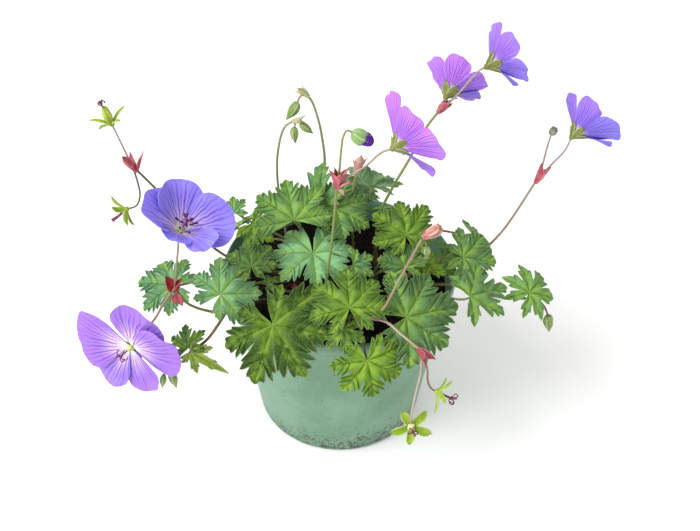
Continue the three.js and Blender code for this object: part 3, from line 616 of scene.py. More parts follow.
class Finish(Enum):
    """The finishes of the plant and its pot."""

    LEAF_TOP = LeafFinish("leaf_top")
    LEAF_UNDER = LeafFinish("leaf_under", cool=("#6a966e", "#a4d0a4"), warm=("#67883f", "#8aac56"),
                            vein="#c0d49c", blotches=0.2)
    # A pale young leaf's green, drawn lighter still as painted light where a bloom shades it.
    LEAF_PALE = LeafFinish("leaf_pale", cool=("#7da05a", "#a8c480"), warm=("#86a636", "#bcd06c"),
                           vein="#d2dea4")
    PETAL_FACE = PetalFinish("petal_face")
    PETAL_BACK = PetalFinish("petal_back", blue="#887cec", pink="#be79e4", throat="#e4bcf4", vein="#6c30b8",
                             vein_share=0.8, throat_end=0.3)
    BUD_PETAL = PetalFinish("bud_petal", blue="#6426b4", pink="#a060e0", throat="#6426b4", claw="#6426b4",
                            vein="#35107e", vein_share=0.9)
    SEPAL = StripeFinish("sepal", "#727c38", "#8c904a", "#525f28", "#ccd2a0")
    HEAD_SEPAL = StripeFinish("sepal_spent", "#8eae26", "#a9c444", "#647c20", "#cfe09a", rim_share=0.6)
    POD = StripeFinish("pod", "#a9be36", "#bccd54", "#6a7f20", "#d4e07c", 2.5, 0.5)
    BUD = StripeFinish("bud_green", "#7c9a4a", "#a0b86c", "#3e5c26", "#dfe6c0", 3.0, tip_share=0.8)
    PALE_BUD = StripeFinish("bud_pale", "#8fb46c", "#aacb8c", "#66884a", "#cfe2bc", 3.0, 0.45)
    PALE_LEAFLET = StripeFinish("bract_cream", "#c4cc94", "#b0bc7c", "#b07c64", "#eceed4", 2.5, 0.5)
    DRY_BUD = StripeFinish("bud_dry", "#7f8774", "#a3a694", "#4a4e42", "#c4c4b4", 3.0)
    BRACT = StripeFinish("bract_red", "#b83646", "#962836", "#42101a", "#d47a80", 2.0, 0.3, 0.9)
    ROSE_BRACT = StripeFinish("bract_rose", "#d4707c", "#b64858", "#641a2a", "#f0b6ba", 2.0, 0.4, 0.8)
    PALE_BRACT = StripeFinish("bract_pale", "#dcb0a4", "#c89088", "#a86058", "#f2ddd0", 2.5, 0.5)
    CALYX = StripeFinish("calyx_pink_skin", "#d68c84", "#bc6c68", "#805c3e", "#f4d0c2", 3.0, 0.55, 0.8)
    STEM = StalkFinish("stem_skin")
    PEDICEL = StalkFinish("pedicel_skin", "#7d8a4e", "#94906a", "#a29484", "#a07468")
    DARK_STEM = StalkFinish("stem_dark", "#54493a", "#606248", "#5a5848", "#745248")
    GREY_STEM = StalkFinish("stem_grey", "#6a6248", "#85895e", "#8a8c68", "#94806a")
    ROSY_STEM = StalkFinish("stem_rosy", "#6e5a48", "#8f8468", "#a89092", "#b07c7c")
    PALE_STEM = StalkFinish("stem_pale", "#b4a494", "#baaaa0", "#c2b2a6", "#a88474")
    PETIOLE = StalkFinish("petiole_skin", "#6e3c32", "#7d8f4c", "#8ba05a", "#8a6048", (0.095, 0.108, 0.15))
    CROWN = PlainFinish("crown_bark", ("#4a2f22", "#7c5236"))
    OVARY = PlainFinish("ovary_skin", ("#dbe2a4", "#b9c974"))
    STAMEN = PlainFinish("stamen_skin", ("#2c1238", "#5a2a60"))
    STIGMA = PlainFinish("stigma_skin", ("#541838", "#8c3860"))
    FILAMENT = PlainFinish("filament_skin", ("#c79ad8", "#9a5fae"))
    HAIR = PlainFinish("hair", ("#e6e8d0", "#cfd4b0"))
    POT = PotFinish("pot_plastic")
    # Peat and crumbs: their own dark brown, drawn near black as painted shade from the leaves over the soil.
    SOIL = PlainFinish("peat", ("#080605", "#1a120d"), 180.0, PEAT_SURFACE)
    CRUMB = PlainFinish("peat_crumbs", ("#0e0a08", "#3a281c"), 90.0, replace(PEAT_SURFACE, bump=0.6))

    def material(self) -> bpy.types.Material:
        """The finish's material, made at its first use."""
        return bpy.data.materials.get(self.value.name) or self.value.make()


UNDERSIDES = {Finish.LEAF_TOP: Finish.LEAF_UNDER, Finish.LEAF_PALE: Finish.LEAF_UNDER,
              Finish.PETAL_FACE: Finish.PETAL_BACK}


# ---- Meshes ----------------------------------------------------------------------------------

MARKS = ("beside", "row", "rim", "spread", "across", "tint", "light")
SMOOTH_ANGLE = math.radians(50)
TRIANGLE = ((1.0, 0.0), (-0.5, 0.87), (-0.5, -0.87))


def new_object(name: str, data: bpy.types.ID) -> bpy.types.Object:
    """Puts a new object with some data into the scene."""
    made = bpy.data.objects.new(name, data)
    bpy.context.scene.collection.objects.link(made)
    return made


def deselect() -> None:
    """Leaves no object selected."""
    if bpy.context.object and bpy.context.object.mode != "OBJECT":
        bpy.ops.object.mode_set(mode="OBJECT")
    bpy.ops.object.select_all(action="DESELECT")


def select(*pieces: bpy.types.Object) -> None:
    """Selects some objects alone and makes the first one active."""
    deselect()
    for piece in pieces:
        piece.select_set(True)
    bpy.context.view_layer.objects.active = pieces[0]


def join(parts: Sequence[bpy.types.Object]) -> bpy.types.Object:
    """Joins objects to the first of them and gives that one."""
    select(*parts)
    if len(parts) > 1:
        bpy.ops.object.join()
    return parts[0]


def apply_modifier(piece: bpy.types.Object, kind: str, **settings: object) -> None:
    """Adds a modifier to an object, sets it and applies it."""
    select(piece)
    modifier = piece.modifiers.new(kind.lower(), kind)
    for name, value in settings.items():
        setattr(modifier, name, value)
    bpy.ops.object.modifier_apply(modifier=modifier.name)


class Shell:
    """Gathers the points, faces, finishes and pattern values of a mesh, in millimetres."""

    def __init__(self) -> None:
        """Starts empty."""
        self.points: list[Vector] = []
        self.faces: list[Face] = []
        self.finish_of: list[Finish] = []
        self.marks: dict[str, list[float]] = {name: [] for name in MARKS}

    def add(self, points: Sequence[Vector], faces: Iterable[Face], finish: Finish,
            marks: Optional[dict[str, Sequence[float]]] = None, tint: float = 0.0,
            light: float = 0.5) -> None:
        """Adds a part.

        Args:
            points: its placed points.
            faces: its faces, as indices of those points.
            finish: the finish of its faces.
            marks: pattern values for each point, by name.
            tint: its own tint, the same all over it; on a leaf, partly a painted sky sheen.
            light: how light its colour is, the same all over it; on a leaf, partly painted light and shade.
        """
        first, count = len(self.points), len(points)
        self.points.extend(points)
        for face in faces:
            self.faces.append(tuple(first + i for i in face))
            self.finish_of.append(finish)
        given = {**(marks or {}), "tint": [tint] * count, "light": [light] * count}
        for name in MARKS:
            self.marks[name].extend(given.get(name) or [0.0] * count)

    def sheet(self, points: Sequence[Vector], across: Sequence[float], spread: Sequence[float],
              finish: Finish, tint: float = 0.0) -> None:
        """Adds an open sheet.

        Args:
            points: its placed points, row after row.
            across: each point's place across its row, from -1 to 1.
            spread: each point's place along the sheet, from 0 to 1.
            finish: its finish.
            tint: its own tint.
        """
        width = across.index(1.0) + 1
        faces = [(a, a + width, a + width + 1, a + 1)
                 for a in range(len(points) - width) if (a + 1) % width]
        self.add(points, faces, finish, {"across": across, "spread": spread}, tint)

    def turned(self, rings: Sequence[Pair], place: Matrix, finish: Finish, sides: int = 16,
               lobes: int = 0, depth: float = 0.0) -> None:
        """Adds a closed body turned about the z axis.

        Args:
            rings: radius and height of each ring from low to high; a radius of 0 closes an end.
            place: where the body stands.
            finish: its finish.
            sides: points of a ring.
            lobes: number of ribs round the body.
            depth: how far the ribs stand out, as a share of the radius.
        """
        points, faces, rows, across, spread = [], [], [], [], []
        low, high = rings[0][1], rings[-1][1]
        for radius, z in rings:
            count = 1 if radius == 0 else sides
            rows.append((len(points), count))
            for j in range(count):
                angle = FULL_TURN * j / sides
                r = radius * (1 + depth * math.cos(lobes * angle))
                points.append(place @ Vector((*polar(r, angle), z)))
                across.append(2 * abs(((lobes or 5) * j / sides) % 1 - 0.5))
                spread.append((z - low) / (high - low))
        for (a, count_a), (b, count_b) in zip(rows, rows[1:]):
            for j in range(sides):
                n = (j + 1) % sides
                quad = (a + j % count_a, a + n % count_a, b + n % count_b, b + j % count_b)
                faces.append(tuple(dict.fromkeys(quad)))
        self.add(points, faces, finish, {"across": across, "spread": spread})

    def hair(self, root: Vector, along: Vector, length: float, radius: float = 0.05) -> None:
        """Adds one fine hair, a closed spike."""
        side = along.orthogonal().normalized() * radius
        other = along.normalized().cross(side)
        ring = [root + side * x + other * y for x, y in TRIANGLE]
        faces = ((0, 2, 1), (0, 1, 3), (1, 2, 3), (2, 0, 3))
        self.add([*ring, root + along.normalized() * length], faces, Finish.HAIR)

    def build(self, name: str, thickness: float = 0.0) -> bpy.types.Object:
        """Makes the object.

        Args:
            name: the object's name.
            thickness: wall that open blades get, or 0 for bodies that are closed already.

        Returns:
            The new object, at the origin.
        """
        mesh = bpy.data.meshes.new(name)
        mesh.from_pydata([p * MM for p in self.points], [], self.faces)
        finishes = list(dict.fromkeys(self.finish_of))
        stride = 2 if thickness else 1
        for top in finishes:
            for finish in (top, UNDERSIDES.get(top, top))[:stride]:
                mesh.materials.append(finish.material())
        index = {finish: stride * i for i, finish in enumerate(finishes)}
        mesh.polygons.foreach_set("material_index", [index[f] for f in self.finish_of])
        for mark, values in self.marks.items():
            mesh.attributes.new(mark, "FLOAT", "POINT").data.foreach_set("value", values)
        mesh.update()
        piece = new_object(name, mesh)
        if thickness:
            apply_modifier(piece, "SOLIDIFY", thickness=thickness * MM, offset=0.0,
                           material_offset=1, material_offset_rim=0)
        return piece


@dataclass
class Tube:
    """A round stalk along a path, with its radius at both ends."""

    path: list[Vector]
    start: float
    end: float

    SLIM = 0.74

    def radius(self, i: int) -> float:
        """Radius at a point of the path."""
        return self.SLIM * (self.start + (self.end - self.start) * i / (len(self.path) - 1))

    def hairs(self, shell: Shell, dice: random.Random, each: float, length: float) -> None:
        """Scatters hairs on the stalk.

        Args:
            shell: gathers the hairs.
            dice: the random draws.
            each: hairs for each millimetre.
            length: length of a hair.
        """
        for i, (a, b) in enumerate(zip(self.path, self.path[1:])):
            run = b - a
            for _ in range(int(each * run.length + dice.random())):
                out = Matrix.Rotation(dice.uniform(0, FULL_TURN), 3, run) @ run.orthogonal().normalized()
                root = a + run * dice.random() + out * self.radius(i) * 0.8
                lean = out + run.normalized() * dice.uniform(-0.3, 0.3)
                shell.hair(root, lean, length * dice.uniform(0.6, 1.2))


def stalks(tubes: Sequence[Tube], finish: Finish) -> bpy.types.Object:
    """Closed round tubes for stalks, made as one bevelled curve and turned to a mesh."""
    curve = bpy.data.curves.new(finish.value.name, "CURVE")
    curve.dimensions = "3D"
    curve.bevel_depth = MM
    curve.bevel_resolution = 2
    curve.use_fill_caps = True
    for tube in tubes:
        spline = curve.splines.new("POLY")
        spline.points.add(len(tube.path) - 1)
        for i, (point, place) in enumerate(zip(spline.points, tube.path)):
            point.co = (*(place * MM), 1.0)
            point.radius = tube.radius(i)
    curve.materials.append(finish.material())
    select(new_object(curve.name, curve))
    bpy.ops.object.convert(target="MESH")
    return bpy.context.object


def dress(name: str, parts: Sequence[bpy.types.Object]) -> bpy.types.Object:
    """Joins parts to the finished piece that stands for a CAD node.

    Args:
        name: name of the CAD node.
        parts: the objects that make up the piece.

    Returns:
        The finished piece.
    """
    piece = join(parts)
    piece.name = piece.data.name = f"{name}_dressed"
    bpy.ops.object.shade_smooth_by_angle(angle=SMOOTH_ANGLE)
    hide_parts(name)
    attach(piece, BODY)
    deselect()
    LOG.info("%s: %d faces", piece.name, len(piece.data.polygons))
    return piece


# ---- Leaves ----------------------------------------------------------------------------------


class LobeEdge(Enum):
    """Half of a lobe's edge from its notch to its tip: (along, across, row) in shares of its reach.

    A row with a whole number is the run of a vein to the tip of a tooth.
    """

    TOOTHED = ((0.46, 0.198, 1.6), (0.58, 0.248, 1.75), (0.71, 0.312, 2.0), (0.70, 0.258, 2.4),
               (0.845, 0.298, 3.0), (0.80, 0.205, 3.3), (0.71, 0.125, 3.5), (0.83, 0.158, 3.75),
               (0.92, 0.16, 4.0), (0.905, 0.098, 4.5), (0.965, 0.056, 4.75), (1.0, 0.0, 5.0))
    TRIDENT = ((0.46, 0.196, 1.65), (0.61, 0.252, 1.85), (0.76, 0.298, 2.0), (0.74, 0.212, 2.3),
               (0.67, 0.122, 2.5), (0.80, 0.152, 2.75), (0.89, 0.152, 3.0), (0.885, 0.092, 3.5),
               (0.96, 0.052, 3.75), (1.0, 0.0, 4.0))
    POINTED = ((0.46, 0.180, 1.7), (0.59, 0.215, 1.9), (0.73, 0.22, 2.0), (0.72, 0.135, 2.5),
               (0.82, 0.118, 2.8), (0.93, 0.05, 2.95), (1.0, 0.0, 3.0))
    SPEAR = ((0.46, 0.12, 1.3), (0.54, 0.135, 1.7), (0.60, 0.135, 2.0), (0.62, 0.09, 2.4),
             (0.78, 0.06, 2.8), (1.0, 0.0, 3.0))


# A leaf's lobes from the middle one outwards: angle, reach and edge.
Lobes = tuple[tuple[float, float, LobeEdge], ...]
BROAD: Lobes = ((0, 1, LobeEdge.TOOTHED), (48, 0.97, LobeEdge.TOOTHED), (96, 0.88, LobeEdge.TOOTHED),
                (140, 0.66, LobeEdge.TRIDENT))
MEDIUM: Lobes = ((0, 1, LobeEdge.TOOTHED), (48, 0.96, LobeEdge.TOOTHED), (96, 0.86, LobeEdge.TRIDENT),
                 (140, 0.62, LobeEdge.POINTED))
FULL: Lobes = ((0, 0.8, LobeEdge.TOOTHED), (50, 0.95, LobeEdge.TOOTHED), (100, 1, LobeEdge.TOOTHED),
               (148, 1, LobeEdge.TRIDENT))
FAN: Lobes = ((0, 1, LobeEdge.TOOTHED), (48, 0.97, LobeEdge.TOOTHED), (94, 0.85, LobeEdge.TOOTHED))
STAR: Lobes = ((0, 1, LobeEdge.TRIDENT), (50, 0.95, LobeEdge.POINTED), (102, 0.9, LobeEdge.POINTED),
               (150, 0.8, LobeEdge.POINTED))
YOUNG: Lobes = ((0, 1, LobeEdge.TRIDENT), (50, 0.93, LobeEdge.TRIDENT), (104, 0.75, LobeEdge.POINTED))
BRACTEAL: Lobes = ((0, 1, LobeEdge.TRIDENT), (62, 0.8, LobeEdge.TRIDENT), (115, 0.5, LobeEdge.POINTED))
SPEAR: Lobes = ((0, 1, LobeEdge.SPEAR), (42, 0.5, LobeEdge.POINTED), (98, 0.32, LobeEdge.POINTED))


@dataclass(frozen=True)
class Lobe:
    """One lobe of one leaf: its angle, reach, edge, width, pitch of its tip and roll about its midrib."""

    angle: float
    reach: float
    edge: LobeEdge
    width: float
    pitch: float
    roll: float

    EDGE_GAP = 24.0
    ROW_STEPS = 2
    WIDEST = 1.04
    BASE_ROWS = 5
    BASE_ROW = 1.1
    BASE_RISE = 0.4
    NOTCH_ROW = 1.5

    def lift(self, x: float, y: float) -> float:
        """How far its pitch and roll raise a point, x along it and y to one side."""
        return self.pitch * max(0.0, x - 0.3) ** 2 + self.roll * y * ease(x, 0.3, 0.8)

    def half_ribs(self, gap: float, notch: float) -> list[tuple[float, Pair, float, float]]:
        """Ribs of half the lobe, in shares of the leaf's reach.

        Args:
            gap: half of the angle to the next lobe.
            notch: how far out the cut between them starts.

        Returns:
            For each rib its start on the midrib, its end on the edge, its row and whether its end is free.
        """
        corner = polar(notch, math.radians(gap))
        first = corner[0] - corner[1]
        ribs = []
        for i in range(self.BASE_ROWS):
            share = i / self.BASE_ROWS
            row = self.BASE_ROW + self.BASE_RISE * share
            ribs.append((first * share, (corner[0] * share, corner[1] * share), row, 0.0))
        fit = math.tan(math.radians(gap)) / math.tan(math.radians(self.EDGE_GAP))
        widen = self.width * self.reach * min(self.WIDEST, fit)
        outline = [Vector(corner), *(Vector((x * self.reach, y * widen)) for x, y, _ in self.edge.value)]
        labels = [self.NOTCH_ROW, *(row for _, _, row in self.edge.value)]
        starts = [first, *(max(0.0, p.x - p.y) for p in outline[1:])]
        for i, p in enumerate(smooth_path(outline, self.ROW_STEPS)):
            k, part = divmod(i, self.ROW_STEPS)
            share, after = part / self.ROW_STEPS, min(k + 1, len(labels) - 1)
            start, row = (v[k] + (v[after] - v[k]) * share for v in (starts, labels))
            ribs.append((start, (p.x, max(0.0, p.y)), row, min(1.0, 0.4 + 0.3 * i)))
        return ribs


@dataclass
class Leaf:
    """A lobed leaf with its petiole.

    at is where the petiole meets the blade, reach the length of the middle lobe, faces the azimuth and
    elevation of the upper side, turn the angle of the middle lobe from straight downhill.
    """

    at: Triple
    reach: float
    faces: Pair
    turn: float
    shape: Lobes
    droop: float = 0.16
    fold: float = 0.42
    crease: float = 0.0
    arch: float = 0.45
    under: float = 0.3
    back: float = 0.12
    # tint and light: the leaf's own green together with painted light and shade and a painted sky sheen; some
    # leaves that lie in shade are drawn light.
    tint: float = 0.5
    light: float = 0.5
    start: Optional[Triple] = None
    finish: Finish = Finish.LEAF_TOP

    THICKNESS = 0.5
    NOTCH = 0.4
    INSET = 2.0
    PETIOLE = (1.05, 0.8)
    PETIOLE_STEPS = 16

    def place(self) -> Matrix:
        """Placement of the blade."""
        return blade_frame(self.at, self.faces, self.turn)

    def petiole(self, foot: Vector) -> Tube:
        """Petiole that rises from a foot and meets the blade from below."""
        place = self.place()
        along, normal = place.col[0].to_3d(), place.col[2].to_3d()
        end = place @ Vector((self.INSET, 0, -0.1))
        span = (end - foot).length
        rise = foot + Vector((0, 0, self.arch * span))
        approach = end - normal * self.under * span - along * self.back * span
        return Tube(bezier_path((foot, rise, approach, end), self.PETIOLE_STEPS), *self.PETIOLE)

    def lobe_list(self, dice: random.Random) -> list[Lobe]:
        """All lobes in order, each a little different."""
        left = [(-angle, reach, edge) for angle, reach, edge in self.shape[:0:-1]]
        return [Lobe(angle + dice.uniform(-2.5, 2.5), reach * dice.uniform(0.93, 1.05), edge,
                     dice.uniform(0.9, 1.08), dice.uniform(-0.45, 0.3), dice.uniform(-0.14, 0.14))
                for angle, reach, edge in (*left, *self.shape)]

    def add_blade(self, shell: Shell, dice: random.Random) -> None:
        """Adds the blade as an open sheet.

        Args:
            shell: gathers the sheet.
            dice: the random draws.
        """
        lobes = self.lobe_list(dice)
        blade = Blade(self, Vector((dice.uniform(0, 50), dice.uniform(0, 50), 0)))
        for k, lobe in enumerate(lobes):
            for sign in (1, -1):
                gap, notch = Lobe.EDGE_GAP, self.NOTCH * lobe.reach
                if 0 <= k + sign < len(lobes):
                    other = lobes[k + sign]
                    gap = abs(other.angle - lobe.angle) / 2
                    notch = self.NOTCH * (other.reach + lobe.reach) / 2
                blade.add_half(lobe, sign, lobe.half_ribs(gap, notch))
        shell.add(blade.points, blade.faces, self.finish, blade.marks, self.tint, self.light)


class Blade:
    """The open sheet of one leaf; points that meet become one."""

    COLUMNS = (0.0, 0.28, 0.52, 0.76, 1.0)
    WAVES = 2.2
    WAVE_HEIGHT = 0.09
    PUCKER = 0.028

    def __init__(self, leaf: Leaf, seed: Vector) -> None:
        """Starts empty; the seed picks the leaf's own waves."""
        self.leaf, self.seed, self.place = leaf, seed, leaf.place()
        self.points: list[Vector] = []
        self.faces: list[Face] = []
        self.marks: dict[str, list[float]] = {name: [] for name in ("beside", "row", "rim", "spread")}
        self.seen: dict[Pair, int] = {}

    def height(self, x: float, y: float, lift: float, beside: float, row: float) -> float:
        """Height of a point: its lobe's lift with the folds, droop, waves and puckers of the leaf."""
        leaf, spread = self.leaf, math.hypot(x, y)
        folds = leaf.fold * beside * (1 - 1.1 * beside) - leaf.droop * spread * spread + leaf.crease * abs(y)
        swell = noise.noise(Vector((self.WAVES * x, self.WAVES * y, 0)) + self.seed)
        pucker = self.PUCKER * (1 - math.cos(FULL_TURN * row)) * ease(beside, 0.0, 0.08)
        return folds + lift + swell * self.WAVE_HEIGHT * spread + pucker

    def point(self, x: float, y: float, lift: float, **marks: float) -> int:
        """Index of a point.

        Args:
            x: its place along the leaf's middle, in shares of the leaf's reach.
            y: its place to the side, in the same shares.
            lift: how far its own lobe raises it.
            marks: its pattern values beside, row and rim, the first in the same shares.

        Returns:
            The index of the new point, or of the one that is there already.
        """
        key = (round(x, 4), round(y, 4))
        if key not in self.seen:
            self.seen[key] = len(self.points)
            z = self.height(x, y, lift, marks["beside"], marks["row"])
            self.points.append(self.place @ (Vector((x, y, z)) * self.leaf.reach))
            marks = {**marks, "beside": marks["beside"] * self.leaf.reach, "spread": math.hypot(x, y)}
            for name, value in marks.items():
                self.marks[name].append(value)
        return self.seen[key]

    def add_half(self, lobe: Lobe, sign: int, ribs: list[tuple[float, Pair, float, float]]) -> None:
        """Adds half a lobe.

        Args:
            lobe: the lobe.
            sign: 1 for its left half and -1 for its right one.
            ribs: the ribs of that half.
        """
        turn = Matrix.Rotation(math.radians(lobe.angle), 2)
        grid = []
        for start, (end, side), row, free in ribs:
            line = []
            for t in self.COLUMNS:
                x, y = start + (end - start) * t, side * t
                where = turn @ Vector((x, sign * y))
                line.append(self.point(*where, lobe.lift(x, sign * y), beside=y, row=row, rim=t * free))
            grid.append(line)
        for one, two in zip(grid, grid[1:]):
            for corners in zip(one, two, two[1:], one[1:]):
                face = tuple(dict.fromkeys(corners))
                if len(face) > 2:
                    self.faces.append(face[::sign])


@dataclass
class Crown:
    """The short brown stub that a shoot or stem stands on, with dry stipules."""

    foot: Pair
    radius: float = 2.6
    stipules: int = 3

    LOW = 79.3
    TOP = 93.0

    def add(self, shell: Shell, blades: Shell, dice: random.Random) -> None:
        """Adds the stub and its stipules."""
        place = Matrix.Translation(Vector((*self.foot, 0)))
        r = self.radius
        rings = ((0, self.LOW), (r * 0.9, self.LOW), (r, self.TOP - 2.5), (r * 0.8, self.TOP - 0.6),
                 (0, self.TOP))
        shell.turned(rings, place, Finish.CROWN, 14, 5, 0.08)
        for _ in range(self.stipules):
            azimuth = dice.uniform(-180, 180)
            at = Vector((*self.foot, self.TOP - 3)) + direction(azimuth, 0) * r * 0.7
            place = blade_frame(at, (azimuth, dice.uniform(-10, 25)), 180)
            Lance(place, dice.uniform(5, 8), 0.36).add(blades, Finish.BRACT)


@dataclass
class LeafyShoot:
    """A clump of leaves on one crown."""

    name: str
    foot: Pair
    leaves: tuple[Leaf, ...]

    BASE = 91.0
    HAIRS = 0.9
    HAIR_LENGTH = 0.8

    def build(self) -> bpy.types.Object:
        """Builds the shoot and puts it in place of its CAD node."""
        dice = random.Random(self.name)
        blades, bodies, hairs = Shell(), Shell(), Shell()
        Crown(self.foot).add(bodies, blades, dice)
        tubes = [leaf.petiole(Vector((*self.foot, self.BASE))) for leaf in self.leaves]
        for leaf, tube in zip(self.leaves, tubes):
            leaf.add_blade(blades, dice)
            tube.hairs(hairs, dice, self.HAIRS, self.HAIR_LENGTH)
        parts = [blades.build("blades", Leaf.THICKNESS), bodies.build("bodies"), hairs.build("hairs")]
        return dress(self.name, [*parts, stalks(tubes, Finish.PETIOLE)])


# ---- Sepals, bracts, buds and seed heads -----------------------------------------------------

Outline = tuple[Pair, ...]
POINTED_BLADE: Outline = ((0.0, 0.45), (0.12, 0.66), (0.3, 0.93), (0.45, 1.0), (0.6, 0.9), (0.76, 0.62),
                          (0.88, 0.3), (0.93, 0.12), (1.0, 0.03))
BLUNT_BLADE: Outline = ((0.0, 0.45), (0.12, 0.62), (0.3, 0.9), (0.5, 1.0), (0.7, 0.95), (0.83, 0.72),
                        (0.9, 0.4), (0.94, 0.12), (1.0, 0.04))


@dataclass
class Lance:
    """A narrow blade such as a sepal, a bract or a stipule; place has x along it and z out of its face."""

    place: Matrix
    length: float
    width: float = 0.4
    curl: float = 0.12
    hollow: float = 0.5
    outline: Outline = POINTED_BLADE

    COLUMNS = 6

    def add(self, shell: Shell, finish: Finish, tint: float = 0.0) -> None:
        """Adds the blade as an open sheet."""
        points, across, spread = [], [], []
        for p in smooth_path(self.outline, 2):
            half = p.y * self.width / 2
            for j in range(self.COLUMNS + 1):
                u = 2 * j / self.COLUMNS - 1
                z = 2 * self.hollow * (u * half) ** 2 / self.width - self.curl * p.x * p.x
                points.append(self.place @ (Vector((p.x, u * half, z)) * self.length))
                across.append(u)
                spread.append(p.x)
        shell.sheet(points, across, spread, finish, tint)


@dataclass
class Calyx:
    """Five sepals on a knob.

    faces is the azimuth and elevation of its axis, turn the first sepal's turn round it, lean the angle
    of the sepals from it, width a share of their length and curl how far their tips bend back.
    """

    faces: Pair
    turn: float
    lean: float
    length: float
    width: float
    curl: float
    finish: Finish

    COUNT = 5
    THICKNESS = 0.45
    ROOT = 0.9
    KNOB = ((0, -1.5), (0.85, -1.3), (1.5, -0.4), (1.7, 0.3), (1.2, 0.8), (0, 1.0))

    def add(self, at: Vector, blades: Shell, bodies: Shell, dice: random.Random) -> None:
        """Adds the sepals as open sheets and the knob that carries them."""
        ring = blade_frame(at, self.faces)
        for i in range(self.COUNT):
            angle = self.turn + 360 * i / self.COUNT + dice.uniform(-5, 5)
            place = leaning(ring, angle, self.ROOT, self.lean + dice.uniform(-4, 4))
            length = self.length * dice.uniform(0.9, 1.05)
            Lance(place, length, self.width, self.curl, outline=BLUNT_BLADE).add(blades, self.finish)
        bodies.turned(self.KNOB, ring, self.finish, 14, 5, 0.06)


@dataclass
class Bud:
    """A closed flower bud; a blunt one has room for the petals that push out of it."""

    faces: Pair
    length: float
    radius: float
    blunt: bool = False
    skin: Finish = Finish.BUD

    POINTED = ((0, -0.05), (0.5, -0.03), (0.84, 0.1), (1.0, 0.3), (0.94, 0.48), (0.7, 0.65), (0.4, 0.8),
               (0.2, 0.9), (0.1, 0.97), (0, 1.0))
    BLUNT = ((0, -0.05), (0.5, -0.03), (0.82, 0.12), (1.0, 0.38), (1.02, 0.62), (0.98, 0.85), (0.7, 0.95),
             (0, 0.96))
    POINTED_AWNS = (0.25, 0.9)
    BLUNT_AWNS = (0.8, 0.97)
    AWN = 1.6
    AWN_RADIUS = 0.14
    RIBS = 0.1
    HAIRS = 14
    HAIR_RADIUS = 0.04

    def add(self, at: Vector, blades: Shell, bodies: Shell, hairs: Shell, dice: random.Random) -> None:
        """Adds the bud: a ribbed body, the awns of the sepals that close over it and its hairs."""
        place = blade_frame(at, self.faces, dice.uniform(0, 72))
        rings = self.BLUNT if self.blunt else self.POINTED
        bodies.turned(scaled(rings, self.radius, self.length), place, self.skin, 25, 5, self.RIBS)
        out, up = self.BLUNT_AWNS if self.blunt else self.POINTED_AWNS
        for i in range(Calyx.COUNT):
            turned = place @ about("Z", FULL_TURN * i / Calyx.COUNT)
            root = turned @ Vector((self.radius * out, 0, self.length * up))
            lean = (turned.to_3x3() @ Vector((0.35, 0, 1))).normalized()
            hairs.hair(root, lean, self.AWN, self.AWN_RADIUS)
        for _ in range(int(self.HAIRS * self.length)):
            share, angle = dice.uniform(0.1, 0.8), dice.uniform(0, FULL_TURN)
            r = self.radius * table_value([(z, radius) for radius, z in rings], share) * 0.95
            lean = Vector((*polar(1, angle), 0.2))
            root = place @ Vector((r * lean.x, r * lean.y, share * self.length))
            hairs.hair(root, place.to_3x3() @ lean, dice.uniform(0.3, 0.7), self.HAIR_RADIUS)


@dataclass
class SeedHead:
    """A spent flower: an ovary that runs out in a style with curled stigmas, over spread sepals.

    turn, lean and length are those of its sepals, beak is the height of the stigmas, ovary the length of
    the swollen part, sepal the width of a sepal as a share of its length, curls the reach of the stigmas
    and style the radius of the style.
    """

    faces: Pair
    turn: float
    lean: float
    length: float
    beak: float
    radius: float
    ovary: float = 3.4
    sepal: float = 0.42
    curls: float = 2.6
    style: float = 0.5
    skin: Finish = Finish.OVARY

    SECTION = ((0, 0.05), (0.7, 0.1), (1.0, 0.38), (0.86, 0.64), (0.5, 0.86), (0.28, 1.0), (0, 1.02))
    RIBS = 0.14
    SEPAL_CURL = 0.2
    CURL = ((0.1, 0, -0.6), (0.35, 0, 0.25), (0.85, 0.05, 0.4), (1.05, 0.2, -0.1), (0.8, 0.35, -0.4),
            (0.55, 0.3, -0.15))
    STIGMA = (0.45, 0.3)
    HAIRS = 8
    HAIR_RADIUS = 0.04

    def add(self, at: Vector, blades: Shell, bodies: Shell, hairs: Shell, dice: random.Random) -> None:
        """Adds the sepals and the ovary with its five carpels and a few hairs."""
        Calyx(self.faces, self.turn, self.lean, self.length, self.sepal, self.SEPAL_CURL,
              Finish.HEAD_SEPAL).add(at, blades, bodies, dice)
        place = blade_frame(at, self.faces)
        rings = scaled(self.SECTION, self.radius, self.ovary)
        bodies.turned(rings, place, self.skin, 20, Calyx.COUNT, self.RIBS)
        for _ in range(int(self.HAIRS * self.ovary)):
            turn = place @ about("Z", dice.uniform(0, FULL_TURN))
            root = turn @ Vector((0.75 * self.radius, 0, self.ovary * dice.uniform(0.2, 0.7)))
            hairs.hair(root, turn.to_3x3() @ Vector((1, 0, 0.3)), dice.uniform(0.3, 0.7), self.HAIR_RADIUS)

    def stigmas(self, at: Vector, dice: random.Random) -> list[Tube]:
        """The style and its withered, curled stigmas."""
        place = blade_frame(at, self.faces)
        style = [place @ Vector((bend, 0, z)) for bend, z in
                 ((0, 0.8 * self.ovary), (0.25, 0.5 * (self.ovary + self.beak)), (0, self.beak))]
        tubes = [Tube(smooth_path(style, 4), self.style, 1.25 * self.style)]
        for i in range(Calyx.COUNT):
            turn = place @ about("Z", FULL_TURN * (i + dice.uniform(-0.3, 0.3)) / Calyx.COUNT)
            reach = self.curls * dice.uniform(0.75, 1.15)
            points = [turn @ Vector((x * reach, y * reach, self.beak + z * reach)) for x, y, z in self.CURL]
            tubes.append(Tube(smooth_path(points, 3), *self.STIGMA))
        return tubes


@dataclass(frozen=True)
class Bract:
    """One bract: turn round the stem, lean from it, length, width as a share of it and how pale it is."""

    turn: float
    lean: float
    length: float
    width: float = 0.34
    pale: float = 0.0


